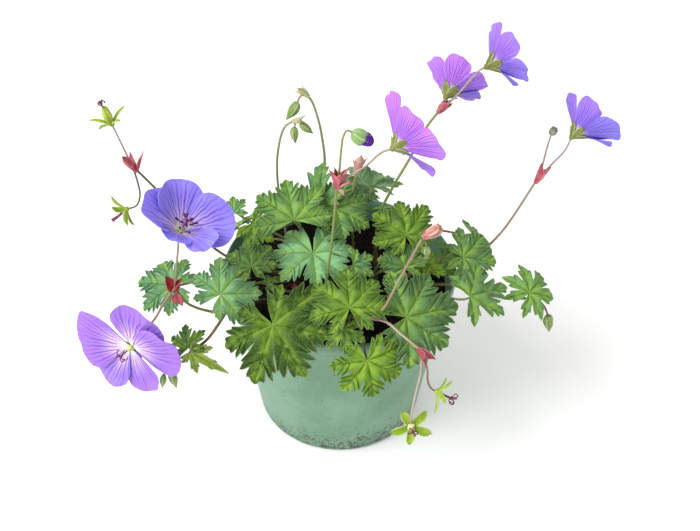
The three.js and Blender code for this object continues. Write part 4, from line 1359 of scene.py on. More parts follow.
@dataclass
class Tuft:
    """Bracts round a stem: at and faces are the stem's place and run there."""

    at: Triple
    faces: Pair
    bracts: tuple[Bract, ...]
    finish: Finish = Finish.BRACT
    curl: float = 0.0

    ROOT = 0.9
    HOLLOW = 1.1

    def add(self, shell: Shell) -> None:
        """Adds the bracts as open sheets."""
        ring = blade_frame(self.at, self.faces)
        for bract in self.bracts:
            place = leaning(ring, bract.turn, self.ROOT, bract.lean)
            blade = Lance(place, bract.length, bract.width, self.curl, self.HOLLOW)
            blade.add(shell, self.finish, bract.pale)

    def build(self, name: str) -> bpy.types.Object:
        """Builds a tuft below the fork of a stem and puts it in place of its CAD node."""
        blades = Shell()
        self.add(blades)
        return dress(name, [blades.build("bracts", Calyx.THICKNESS)])


@dataclass
class Tip:
    """End of a stem in a colour of its own: the petals of an opening bud, or a closed pink calyx."""

    name: str
    at: Triple
    faces: Pair
    length: float
    radius: float
    finish: Finish
    slot: str

    RINGS = ((0, 0.0), (0.45, 0.01), (0.8, 0.1), (1.0, 0.3), (0.97, 0.5), (0.8, 0.72),
             (0.55, 0.9), (0.3, 0.98), (0, 1.0))
    RIBS = 0.13
    CORE = 0.72
    SEPAL_ROOT = 0.4
    SEPAL_LEAN = 19.0
    SEPAL_WIDTH = 0.52
    SEPAL_CURL = -0.4
    SEPAL_HOLLOW = 1.3
    AWN = 2.2
    AWN_RADIUS = 0.22

    def build(self) -> bpy.types.Object:
        """Builds the tip and puts it in place of its CAD node."""
        bodies = Shell()
        place = blade_frame(self.at, self.faces)
        wrapped = self.finish is Finish.CALYX
        radius = self.radius * (self.CORE if wrapped else 1)
        rings = scaled(self.RINGS, radius, self.length)
        bodies.turned(rings, place, self.finish, 30, 5, self.RIBS)
        parts = [bodies.build("skin")]
        if wrapped:
            parts += self.wrap(place, random.Random(self.name))
        return dress(self.name, parts)

    def wrap(self, place: Matrix, dice: random.Random) -> list[bpy.types.Object]:
        """Sepals that close round the tip, each with an awn."""
        blades, hairs = Shell(), Shell()
        for i in range(Calyx.COUNT):
            turn = 360 * (i + dice.uniform(-0.1, 0.1)) / Calyx.COUNT
            sepal = leaning(place, turn, self.SEPAL_ROOT * self.radius, self.SEPAL_LEAN + dice.uniform(-3, 4))
            length = self.length * dice.uniform(0.92, 1.04)
            blade = Lance(sepal, length, self.SEPAL_WIDTH, self.SEPAL_CURL, self.SEPAL_HOLLOW, BLUNT_BLADE)
            blade.add(blades, self.finish)
            root = sepal @ Vector((0.97 * length, 0, -0.9 * self.SEPAL_CURL * length))
            lean = sepal.to_3x3() @ Vector((1, dice.uniform(-0.3, 0.3), 0.3))
            hairs.hair(root, lean, self.AWN, self.AWN_RADIUS)
        return [blades.build("sepals", Calyx.THICKNESS), hairs.build("awns")]


# ---- Blooms ----------------------------------------------------------------------------------


@dataclass(frozen=True)
class Petal:
    """One petal: turn round the bloom's axis, length and width as shares, roll along its middle.

    lift raises it towards the axis, and tint makes it pinker or bluer than the rest.
    """

    turn: float
    length: float = 1.0
    width: float = 1.0
    roll: float = 0.0
    lift: float = 0.0
    tint: float = 0.0


@dataclass
class Bloom:
    """An open flower: at is the middle of its throat, faces its axis, open the rise of its petals.

    centre is the size of its style and stamens; a spent flower has lost its stamens. cup is how far the
    sides of a petal rise.
    """

    name: str
    at: Triple
    faces: Pair
    petals: tuple[Petal, ...]
    open: float
    length: float
    tint: float = 0.4
    centre: float = 1.0
    spent: bool = False
    cup: float = 0.5

    OUTLINE = ((0, 0.97), (0.15, 0.99), (0.3, 0.99), (0.45, 0.955), (0.6, 0.9), (0.72, 0.83), (0.82, 0.72),
               (0.9, 0.57), (1.0, 0.1))
    FAN = 53.0
    ROWS = 15
    COLUMNS = 26
    ROOT = 1.2
    TWIST = 7.0
    ARCH = 0.18
    WAVES = ((0.028, 5.3), (0.012, 12), (0.03, 8.2), (0.009, 18))
    THICKNESS = 0.35
    SEPALS = {"length": 8.2, "width": 0.42, "curl": -0.08, "finish": Finish.SEPAL}
    SEPAL_LEAN = 14.0
    SEPAL_GAP = 3.0
    HUB = 2.2
    HUB_GAP = 1.3
    OVARY = ((0, 0.4), (1.5, 0.6), (1.9, 1.4), (1.5, 2.6), (0.8, 3.4), (0, 3.8))
    STYLE = ((0, 0, 3), (0.1, 0, 6), (0, 0.1, 8.4))
    STYLE_GIRTH = (0.55, 0.45)
    STIGMA = ((0.1, 0, 8.1), (0.9, 0, 9.2), (2.1, 0.1, 9.4), (2.8, 0.2, 8.7))
    STIGMA_GIRTH = (0.42, 0.28)
    SPENT_STIGMA = ((0.1, 0, 8.1), (1.3, 0, 9.6), (2.9, 0.1, 9.3), (3.5, 0.3, 7.8), (2.8, 0.4, 6.9))
    STAMENS = ((2.8, 8.0), (4.2, 6.4))
    FILAMENT_GIRTH = (0.3, 0.16)
    ANTHER = ((0, -1.2), (0.42, -0.9), (0.52, 0), (0.42, 0.9), (0, 1.2))

    def frame(self) -> Matrix:
        """Placement of the bloom."""
        return blade_frame(self.at, self.faces)

    def calyx_middle(self) -> Vector:
        """Middle of the calyx, where the stem ends."""
        depth = self.HUB * math.tan(math.radians(self.open - self.SEPAL_LEAN))
        return self.frame() @ Vector((0, 0, -self.HUB_GAP - depth))

    def calyx(self) -> Calyx:
        """Calyx behind the petals, with its sepals between them."""
        first = self.petals[0].turn + 180 / Calyx.COUNT
        return Calyx(self.faces, first, 90 - self.open + self.SEPAL_GAP, **self.SEPALS)

    def add_petal(self, shell: Shell, petal: Petal, dice: random.Random) -> None:
        """Adds one petal as an open sheet with a pleated, waved edge.

        Args:
            shell: gathers the sheet.
            petal: the petal.
            dice: the random draws.
        """
        place = leaning(self.frame(), petal.turn, self.ROOT, 90 - self.open - petal.lift)
        place = place @ about("X", math.radians(self.TWIST))
        phases = [dice.uniform(0, FULL_TURN) for _ in self.WAVES]
        table = [(p.x, p.y) for p in smooth_path(self.OUTLINE, 6)]
        points, across, spread = [], [], []

        def wave(k: int, share: float = 1.0) -> float:
            """Height of one of the waves, the first two in the outline and the others out of the sheet."""
            size, rate = self.WAVES[k]
            return size * share * math.sin(rate * u + phases[k])

        for i in range(self.ROWS + 1):
            s = i / self.ROWS
            for j in range(self.COLUMNS + 1):
                u = 2 * j / self.COLUMNS - 1
                ray = math.radians(self.FAN * petal.width) * math.copysign(abs(u) ** 0.9, u)
                x, y = polar(table_value(table, abs(u)) * (1 + (wave(0) + wave(1))) * s, ray)
                z = (self.cup * y * y - self.ARCH * x * x + petal.roll * y * abs(y)
                     + wave(2, s**3) + wave(3, s))
                points.append(place @ (Vector((x, y, z)) * (self.length * petal.length)))
                across.append(u)
                spread.append(s)
        tint = self.tint + petal.tint + dice.uniform(-0.1, 0.1)
        shell.sheet(points, across, spread, Finish.PETAL_FACE, tint)

    def build_petals(self) -> bpy.types.Object:
        """Builds the ring of petals and puts it in place of its CAD node."""
        dice = random.Random(self.name)
        blades = Shell()
        for petal in self.petals:
            self.add_petal(blades, petal, dice)
        piece = blades.build("petals", self.THICKNESS)
        apply_modifier(piece, "WELD", merge_threshold=0.01 * MM)
        return dress(f"petals_{self.name}", [piece])

    def build_centre(self) -> bpy.types.Object:
        """Builds the ovary, style and stamens and puts them in place of their CAD node."""
        dice = random.Random(f"centre {self.name}")
        bodies = Shell()
        bodies.turned(self.OVARY, self.frame(), Finish.OVARY, 20, 5, 0.12)
        tubes = {Finish.STIGMA: self.pistil(dice)}
        if not self.spent:
            tubes[Finish.FILAMENT] = [self.stamen(bodies, i, dice) for i in range(2 * Calyx.COUNT)]
        parts = [bodies.build("ovary")] + [stalks(lines, finish) for finish, lines in tubes.items()]
        return dress(f"centre_{self.name}", parts)

    def arm(self, turn: float) -> Matrix:
        """Placement of a thin part at a turn round the bloom's axis."""
        return self.frame() @ about("Z", turn) @ Matrix.Scale(self.centre, 4)

    def arm_path(self, turn: float, points: Sequence[Triple]) -> list[Vector]:
        """Path of a thin part at a turn, from points in its own plane."""
        return smooth_path([self.arm(turn) @ Vector(p) for p in points], 4)

    def pistil(self, dice: random.Random) -> list[Tube]:
        """The style and its five stigmas, which curl further back once the flower is spent."""
        tubes = [Tube(self.arm_path(0, self.STYLE), *self.STYLE_GIRTH)]
        curl = self.SPENT_STIGMA if self.spent else self.STIGMA
        for i in range(Calyx.COUNT):
            turn = FULL_TURN * (i + 0.15 * dice.random()) / Calyx.COUNT
            tubes.append(Tube(self.arm_path(turn, curl), *self.STIGMA_GIRTH))
        return tubes

    def stamen(self, bodies: Shell, i: int, dice: random.Random) -> Tube:
        """Adds the anther of stamen i and gives its filament."""
        turn = math.pi * (i + 0.4 * dice.random()) / Calyx.COUNT
        out, up = self.STAMENS[i % 2]
        out, up = out * dice.uniform(0.85, 1.15), up * dice.uniform(0.9, 1.1)
        tilt = about("Y", dice.uniform(0.6, 1.4))
        place = self.arm(turn) @ Matrix.Translation((out, 0, up)) @ tilt
        bodies.turned(self.ANTHER, place, Finish.STAMEN, 8)
        path = ((0.9, 0, 1.4), (0.25 * out + 0.7, 0, 0.6 * up), (0.8 * out, 0, 0.95 * up), (out, 0, up))
        return Tube(self.arm_path(turn, path), *self.FILAMENT_GIRTH)


# ---- Flowering stems -------------------------------------------------------------------------


@dataclass
class Route:
    """A stem or pedicel along a path; it may end in a bloom, a bud or a seed head.

    skin is its finish where that isn't the stem's.
    """

    path: tuple[Triple, ...]
    girth: Pair
    bloom: Optional[str] = None
    end: Union[Bud, SeedHead, None] = None
    skin: Optional[Finish] = None

    STEPS = 6

    def tube(self, blooms: dict[str, Bloom]) -> Tube:
        """The stalk of the route."""
        tail = [blooms[self.bloom].calyx_middle()] if self.bloom else []
        return Tube(smooth_path([*self.path, *tail], self.STEPS), *self.girth)


@dataclass
class FloweringStem:
    """A stem with its pedicels, calyces, buds, seed heads and leaves."""

    name: str
    foot: Pair
    routes: tuple[Route, ...]
    leaves: tuple[Leaf, ...] = ()
    tufts: tuple[Tuft, ...] = ()
    skin: Finish = Finish.STEM

    HAIRS = 1.3
    HAIR_LENGTH = 0.9
    CROWN_RADIUS = 1.9

    def build(self, blooms: dict[str, Bloom]) -> bpy.types.Object:
        """Builds the stem and puts it in place of its CAD node.

        Args:
            blooms: the blooms that its routes end in, by name.

        Returns:
            The finished piece.
        """
        dice = random.Random(self.name)
        blades, bodies, hairs = Shell(), Shell(), Shell()
        Crown(self.foot, self.CROWN_RADIUS, 0).add(bodies, blades, dice)
        tubes = [route.tube(blooms) for route in self.routes]
        petioles = [leaf.petiole(Vector(leaf.start)) for leaf in self.leaves]
        for tube in (*tubes, *petioles):
            tube.hairs(hairs, dice, self.HAIRS, self.HAIR_LENGTH)
        for leaf in self.leaves:
            leaf.add_blade(blades, dice)
        for route in self.routes:
            if route.bloom:
                bloom = blooms[route.bloom]
                bloom.calyx().add(bloom.calyx_middle(), blades, bodies, dice)
            elif route.end:
                route.end.add(Vector(route.path[-1]), blades, bodies, hairs, dice)
        for tuft in self.tufts:
            tuft.add(blades)
        skins: dict[Finish, list[Tube]] = {self.skin: petioles}
        for route, tube in zip(self.routes, tubes):
            skins.setdefault(route.skin or self.skin, []).append(tube)
            if isinstance(route.end, SeedHead):
                skins.setdefault(Finish.STIGMA, []).extend(route.end.stigmas(Vector(route.path[-1]), dice))
        parts = [bodies.build("bodies"), hairs.build("hairs")]
        parts += [stalks(lines, skin) for skin, lines in skins.items() if lines]
        if blades.points:
            parts.append(blades.build("blades", Calyx.THICKNESS))
        return dress(self.name, parts)


# ---- Pot and soil ----------------------------------------------------------------------------


@dataclass
class Pot:
    """Nursery pot with a straight tapered wall, a stepped rim and drain holes."""

    height: float = 102.0
    rim_radius: float = 65.0
    rim_height: float = 7.0
    rim_step: float = 2.2
    base_radius: float = 47.5
    corner_radius: float = 3.0
    wall: float = 1.3
    sides: int = 128
    hole_count: int = 6
    hole_radius: float = 4.5
    hole_circle: float = 31.0
    hole_sides: int = 32
    cutter_depth: float = 8.0

    def radius(self, z: float) -> float:
        """Outer radius of the tapered wall at a height."""
        share = (z - self.corner_radius) / (self.height - self.corner_radius)
        return self.base_radius + (self.rim_radius - self.rim_step - self.base_radius) * share

    def profile(self) -> list[Pair]:
        """Radius and height of the wall's rings, from the underside round to the inside's bottom."""
        shoulder = self.height - self.rim_height
        c, w = self.corner_radius, self.wall
        return [
            (self.base_radius - c, 0), (self.base_radius - 0.3 * c, 0.35 * c), (self.radius(c), c),
            (self.radius(shoulder * 0.5), shoulder * 0.5), (self.radius(shoulder) + 0.05, shoulder - 0.3),
            (self.rim_radius - 1.1, shoulder + 0.1), (self.rim_radius - 0.4, shoulder + 0.7),
            (self.rim_radius, shoulder + 1.8), (self.rim_radius, self.height - 1.3),
            (self.rim_radius - 0.25, self.height - 0.4), (self.rim_radius - 0.65, self.height),
            (self.rim_radius - w + 0.1, self.height - 0.3), (self.rim_radius - w, self.height - 1),
            (self.radius(shoulder) - w, shoulder - 0.5), (self.radius(c) - w, c + 0.5),
            (self.base_radius - c - 0.5, w)]

    def build(self) -> bpy.types.Object:
        """Raises the wall ring by ring, cuts the drain holes and puts the pot in place of its CAD node."""
        deselect()
        rings = self.profile()
        bpy.ops.mesh.primitive_circle_add(vertices=self.sides, radius=rings[0][0] * MM, fill_type="NGON")
        pot = bpy.context.object
        bpy.ops.object.mode_set(mode="EDIT")
        bpy.ops.mesh.flip_normals()
        extrude = bpy.ops.mesh.extrude_region_move
        for (r0, z0), (r1, z1) in zip(rings, rings[1:]):
            extrude(TRANSFORM_OT_translate={"value": (0, 0, (z1 - z0) * MM)})
            extrude = bpy.ops.mesh.extrude_edges_move
            bpy.ops.transform.resize(value=(r1 / r0, r1 / r0, 1), center_override=(0, 0, z1 * MM))
        bpy.ops.object.mode_set(mode="OBJECT")
        self.cut_holes(pot)
        pot.data.materials.append(Finish.POT.material())
        return dress("pot", [pot])

    def cut_holes(self, pot: bpy.types.Object) -> None:
        """Cuts the drain holes through the pot's floor."""
        deselect()
        cutters = []
        for i in range(self.hole_count):
            x, y = polar(self.hole_circle, FULL_TURN * (i + 0.5) / self.hole_count)
            bpy.ops.mesh.primitive_cylinder_add(vertices=self.hole_sides, radius=self.hole_radius * MM,
                                                depth=self.cutter_depth * MM, location=(x * MM, y * MM, 0))
            cutters.append(bpy.context.object)
        cutter = join(cutters[::-1])
        bpy.ops.object.transform_apply(location=True, rotation=True, scale=True)
        apply_modifier(pot, "BOOLEAN", operation="DIFFERENCE", object=cutter, solver="EXACT")
        bpy.data.objects.remove(cutter)


@dataclass
class Soil:
    """Crumbly peat that fills the pot, with loose crumbs and bits of bark on top."""

    pot: Pot
    top: float = 90.0
    bumps: float = 1.2
    clods: float = 0.8
    grains: float = 0.5
    rings: int = 26
    sides: int = 96
    clearance: float = 0.3
    crumbs: int = 1500
    crumb_margin: float = 1.5
    least_crumb: float = 0.45
    crumb_range: float = 1.3
    clod_size: float = 2.1
    grain_size: float = 0.9

    SWELLS = (5.3, 9.1, 6.7)
    BEND = 1.7

    def height(self, x: float, y: float) -> float:
        """Height of the surface, with coarse swells and fine clods."""
        a, b, c = self.SWELLS
        swell = self.bumps * math.sin(x / a + self.BEND * math.sin(y / b)) * math.cos(y / c)
        clod = self.clods * noise.noise(Vector((x / self.clod_size, y / self.clod_size, 3)))
        grain = self.grains * noise.noise(Vector((x / self.grain_size, y / self.grain_size, 7)))
        return self.top + swell + (clod + grain)

    def inner(self, z: float) -> float:
        """Radius of the soil at a height."""
        return self.pot.radius(z) - self.pot.wall - self.clearance

    def build(self) -> bpy.types.Object:
        """Builds the soil and puts it in place of its CAD node."""
        shell = Shell()
        shell.add(*self.body(), Finish.SOIL)
        return dress("soil", [shell.build("body"), self.crumb_heap(random.Random("soil"))])

    def body(self) -> tuple[list[Vector], list[Face]]:
        """Points and faces of the closed body: the surface, the side and the bottom."""
        floor, low = self.pot.wall + self.clearance, self.pot.corner_radius + 1
        edge, foot = self.inner(self.top), self.pot.base_radius - 4
        levels = [(edge * i / self.rings, None) for i in range(1, self.rings)]
        levels += [(edge, self.top), (self.inner(low), low), (foot, floor)]
        points = [Vector((0, 0, self.height(0, 0)))]
        for radius, z in levels:
            for j in range(self.sides):
                x, y = polar(radius, FULL_TURN * j / self.sides)
                points.append(Vector((x, y, self.height(x, y) if z is None else z)))
        points.append(Vector((0, 0, floor)))
        rows = [[1 + k * self.sides + j % self.sides for j in range(self.sides + 1)]
                for k in range(len(levels))]
        faces: list[Face] = []
        for j in range(self.sides):
            faces += [(0, rows[0][j], rows[0][j + 1]), (len(points) - 1, rows[-1][j + 1], rows[-1][j])]
            faces += [(one[j], two[j], two[j + 1], one[j + 1]) for one, two in zip(rows, rows[1:])]
        return points, faces

    def crumb_heap(self, dice: random.Random) -> bpy.types.Object:
        """Loose crumbs and flat bits of bark strewn over the surface."""
        deselect()
        bpy.ops.mesh.primitive_ico_sphere_add(subdivisions=1, radius=1.0)
        template = bpy.context.object
        corners = [v.co.copy() for v in template.data.vertices]
        faces = [tuple(p.vertices) for p in template.data.polygons]
        bpy.data.objects.remove(template)
        shell = Shell()
        limit = self.pot.radius(self.top) - self.pot.wall - self.crumb_margin
        for _ in range(self.crumbs):
            x, y = polar(limit * math.sqrt(dice.random()), dice.uniform(0, FULL_TURN))
            size = self.least_crumb + self.crumb_range * dice.random() ** 3
            shape = Matrix.Diagonal((size * dice.uniform(0.7, 2.0), size, size * dice.uniform(0.4, 0.9), 1))
            spin = about("Z", dice.uniform(0, 6.28)) @ about("X", dice.uniform(-0.5, 0.5))
            place = Matrix.Translation((x, y, self.height(x, y) + 0.2)) @ spin @ shape
            shell.add([place @ (c * dice.uniform(0.75, 1.2)) for c in corners], faces, Finish.CRUMB)
        return shell.build("crumbs")


# ---- Stage -----------------------------------------------------------------------------------


def aim(piece: bpy.types.Object, at: Vector, along: Vector) -> None:
    """Places a light or the camera and lets it look along a direction."""
    piece.location = at
    piece.rotation_euler = along.to_track_quat("-Z", "Y").to_euler()


@dataclass(frozen=True)
class Lamp:
    """A square soft light: its name, place in metres, side and power."""

    name: str
    at: Triple
    size: float
    power: float


@dataclass
class Studio:
    """Pale floor, soft light and the camera, in metres."""

    target: Triple = (0.0, 0.0, 0.102)
    distance: float = 0.65
    elevation: float = 40.0
    focal_pixels: float = 1165.0
    frame_width: float = 700.0
    sensor: float = 36.0
    shift_pixels: float = 10.5
    clip_start: float = 0.01
    floor_size: float = 8.0
    floor_colour: str = "#fbfbfa"
    floor_surface: Surface = Surface(roughness=0.9, specular=0.1)
    floor_glow: float = 0.22
    sky: float = 0.61
    lamps: tuple[Lamp, ...] = (Lamp("key", (-0.75, -0.45, 1.0), 0.8, 16.0),
                               Lamp("fill", (0.9, -0.5, 0.9), 0.9, 0.2))

    def build(self) -> None:
        """Builds the floor, the lights and the camera."""
        self.build_floor()
        self.build_lights()
        self.build_camera()

    def build_floor(self) -> None:
        """Lays the floor under the pot."""
        deselect()
        bpy.ops.mesh.primitive_plane_add(size=self.floor_size)
        floor = bpy.context.object
        floor.name = "floor"
        paper = self.floor_surface.make("floor_paper", lambda _: (paint(self.floor_colour), None))
        shader = next(node for node in paper.node_tree.nodes if node.type == "BSDF_PRINCIPLED")
        shader.inputs["Emission Color"].default_value = paint(self.floor_colour)
        shader.inputs["Emission Strength"].default_value = self.floor_glow
        floor.data.materials.append(paper)

    def build_lights(self) -> None:
        """Sets an even sky, a soft key light from the left and a weak one from the right."""
        world = bpy.data.worlds.new("studio")
        bpy.context.scene.world = world
        world.use_nodes = True
        background = world.node_tree.nodes["Background"]
        background.inputs["Color"].default_value = (1, 1, 1, 1)
        background.inputs["Strength"].default_value = self.sky
        for lamp in self.lamps:
            light = bpy.data.lights.new(lamp.name, "AREA")
            light.size = lamp.size
            light.energy = lamp.power
            at = Vector(lamp.at)
            aim(new_object(lamp.name, light), at, Vector(self.target) - at)

    def build_camera(self) -> None:
        """Places the camera."""
        camera = bpy.data.cameras.new("camera")
        camera.sensor_width = self.sensor
        camera.lens = self.focal_pixels * self.sensor / self.frame_width
        camera.shift_x = self.shift_pixels / self.frame_width
        camera.clip_start = self.clip_start
        eye, away = new_object("camera", camera), direction(0, self.elevation)
        aim(eye, Vector(self.target) + away * self.distance, -away)
        bpy.context.scene.camera = eye
        bpy.context.scene.view_settings.view_transform = "Standard"


# ---- The plant -------------------------------------------------------------------------------


# Each leaf's tint and light are partly its own colour and partly painted light: cool, light leaves stand for
# a sky sheen, and some shaded leaves are drawn lighter.
SHOOTS = (
    LeafyShoot("shoot_front_left", (-12, -22), (
        Leaf((-34, -62, 115), 33, (-15, 42), 40, BROAD, droop=0.12, tint=0.95, light=0.12),
        Leaf((-38, -35, 118), 9, (-20, 70), 140, BRACTEAL, tint=0.6, light=0.35))),
    LeafyShoot("shoot_left", (-24, -8), (
        Leaf((-62, -43, 118.5), 22, (-15, 50), 150, BROAD, tint=0.25, light=0.72),
        Leaf((-91.5, -13, 98.5), 21.5, (-20, 70), 276, BROAD, arch=0.62, under=0.1, tint=0.15, light=0.5),
        Leaf((-46, -33, 129), 16, (-10, 58), 199, MEDIUM, tint=0.55, light=0.3))),
    LeafyShoot("shoot_centre", (-6, -10), (
        Leaf((-14, -24, 130), 25, (0, 80), 4, FULL, tint=0.25, light=1),
        Leaf((7, -29, 127), 13, (0, 60), 64, YOUNG, tint=0.3, light=0.35))),
    LeafyShoot("shoot_top_left", (-16, 6), (
        Leaf((-24, -13, 144), 24, (-10, 45), 197, FAN, crease=0.2, tint=0.7, light=0.75),
        Leaf((-58, 10, 131), 11, (-30, 45), 213, YOUNG, tint=0.4, light=0.6),
        Leaf((-47, -1, 132), 16, (-20, 50), 64, YOUNG, tint=0.95, light=0.6))),
    LeafyShoot("shoot_top", (4, 6), (
        Leaf((-2, -6, 146), 21, (15, 60), 100, BROAD, tint=0.6, light=0.45),
        Leaf((-10, 1, 144), 22, (-30, 30), 195, BRACTEAL, crease=0.5, tint=0.4, light=0.6))),
    LeafyShoot("shoot_right", (18, -6), (
        Leaf((35, -18, 138), 21, (10, 50), 182, BROAD, tint=0.95, light=0.5),
        Leaf((34, -30, 126), 16, (10, 55), 198, MEDIUM, crease=0.15, tint=0.5, light=0.35),
        Leaf((45, -23, 122), 14, (30, 50), 46, BRACTEAL, tint=1, light=0.65))),
    LeafyShoot("shoot_front_right", (16, -26), (
        Leaf((34, -60, 118), 29, (15, 45), 92, BROAD, droop=0.1, tint=0.55, light=0.4),)),
    LeafyShoot("shoot_far_right", (28, -14), (
        Leaf((69, -36, 111), 23, (30, 72), 84, YOUNG, tint=0.5, light=0.5),
        Leaf((66.8, -12, 118), 20, (30, 55), 65, MEDIUM, arch=0.1, under=0.45, tint=0.6, light=0.65),
        Leaf((56, -10, 116), 15, (20, 62), 60, YOUNG, tint=0.4, light=0.4))),
    LeafyShoot("shoot_back_left", (-20, 20), (
        Leaf((-28, 34, 122), 22, (-150, 60), 10, MEDIUM, tint=0.5),
        Leaf((-58, 30, 106), 20, (-120, 55), 350, YOUNG, tint=0.3),
        Leaf((-34, 62, 103), 23, (-155, 45), 5, MEDIUM, arch=0.7, under=0.08, tint=0.6))),
    LeafyShoot("shoot_back", (0, 24), (
        Leaf((2, 42, 118), 22, (185, 62), 0, MEDIUM, tint=0.6),
        Leaf((4, 70, 102), 24, (178, 42), 350, MEDIUM, arch=0.75, under=0.08, tint=0.7),
        Leaf((18, 16.6, 144), 22, (170, 27), 155, MEDIUM, droop=0.05, under=0.15, tint=0.15, light=1))),
    LeafyShoot("shoot_back_right", (20, 18), (
        Leaf((35, 33, 113), 19, (140, 60), 15, MEDIUM, tint=0.5),
        Leaf((76, 24, 105), 20, (105, 50), 350, YOUNG, arch=0.65, under=0.08, tint=0.4))),
)

BLOOMS = (
    Bloom("lower_left", (-106, -70, 107), (-28, 2), (
        Petal(156, 1.0, 1.02), Petal(274, 1.1, 0.95), Petal(314, 1.08, 0.95, tint=-0.2),
        Petal(20, 0.9, 0.95), Petal(106, 1.06, 0.98)), 14, 29, tint=0.92, spent=True, cup=0.12),
    Bloom("upper_left", (-78, -50, 166), (63, 58), (
        Petal(140, 0.98, 1.1), Petal(200, 1.0, 1.05), Petal(268, 0.68, lift=8),
        Petal(342, 0.84, 0.72, 0.6, 12), Petal(52, 1.05, 1.1)), 34, 25, tint=0.05, centre=1.12),
    Bloom("centre", (27, -37, 207), (125, 11), (
        Petal(193, 0.86, 0.72), Petal(256, 1.03, 0.72), Petal(336, 1.0, 0.7, tint=-0.3),
        Petal(51, 0.92, 0.62, tint=-0.3), Petal(128, 1.12, 0.52)), 38, 23, tint=0.9),
    Bloom("right_middle", (55, 10, 207.5), (151, 14), (
        Petal(186, 0.94, 0.68), Petal(258, 0.97, 0.64, tint=-0.2), Petal(322, 0.95, 0.7, tint=-0.6),
        Petal(32, 0.9, 0.7, tint=-0.7), Petal(109, 1.03, 0.62)), 50, 20, tint=0.9),
    Bloom("right_top", (75.5, 11.5, 223), (120, 10), (
        Petal(202, 0.94, 0.66), Petal(281, 0.96, 0.74, tint=-0.25), Petal(348, 0.92, 0.7, tint=-0.4),
        Petal(60, 0.95, 0.66, tint=-0.4), Petal(130, 1.07, 0.62)), 46, 19.5, tint=0.38),
    Bloom("far_right", (121.5, 5.5, 186), (129, 21), (
        Petal(191, 0.92, 0.62), Petal(270, 1.04, 0.84, tint=-0.25), Petal(340, 1.0, 0.74, tint=-0.3),
        Petal(54, 0.95, 0.66, tint=-0.2), Petal(123, 0.97, 0.48)), 48, 21.5, tint=0.32),
)

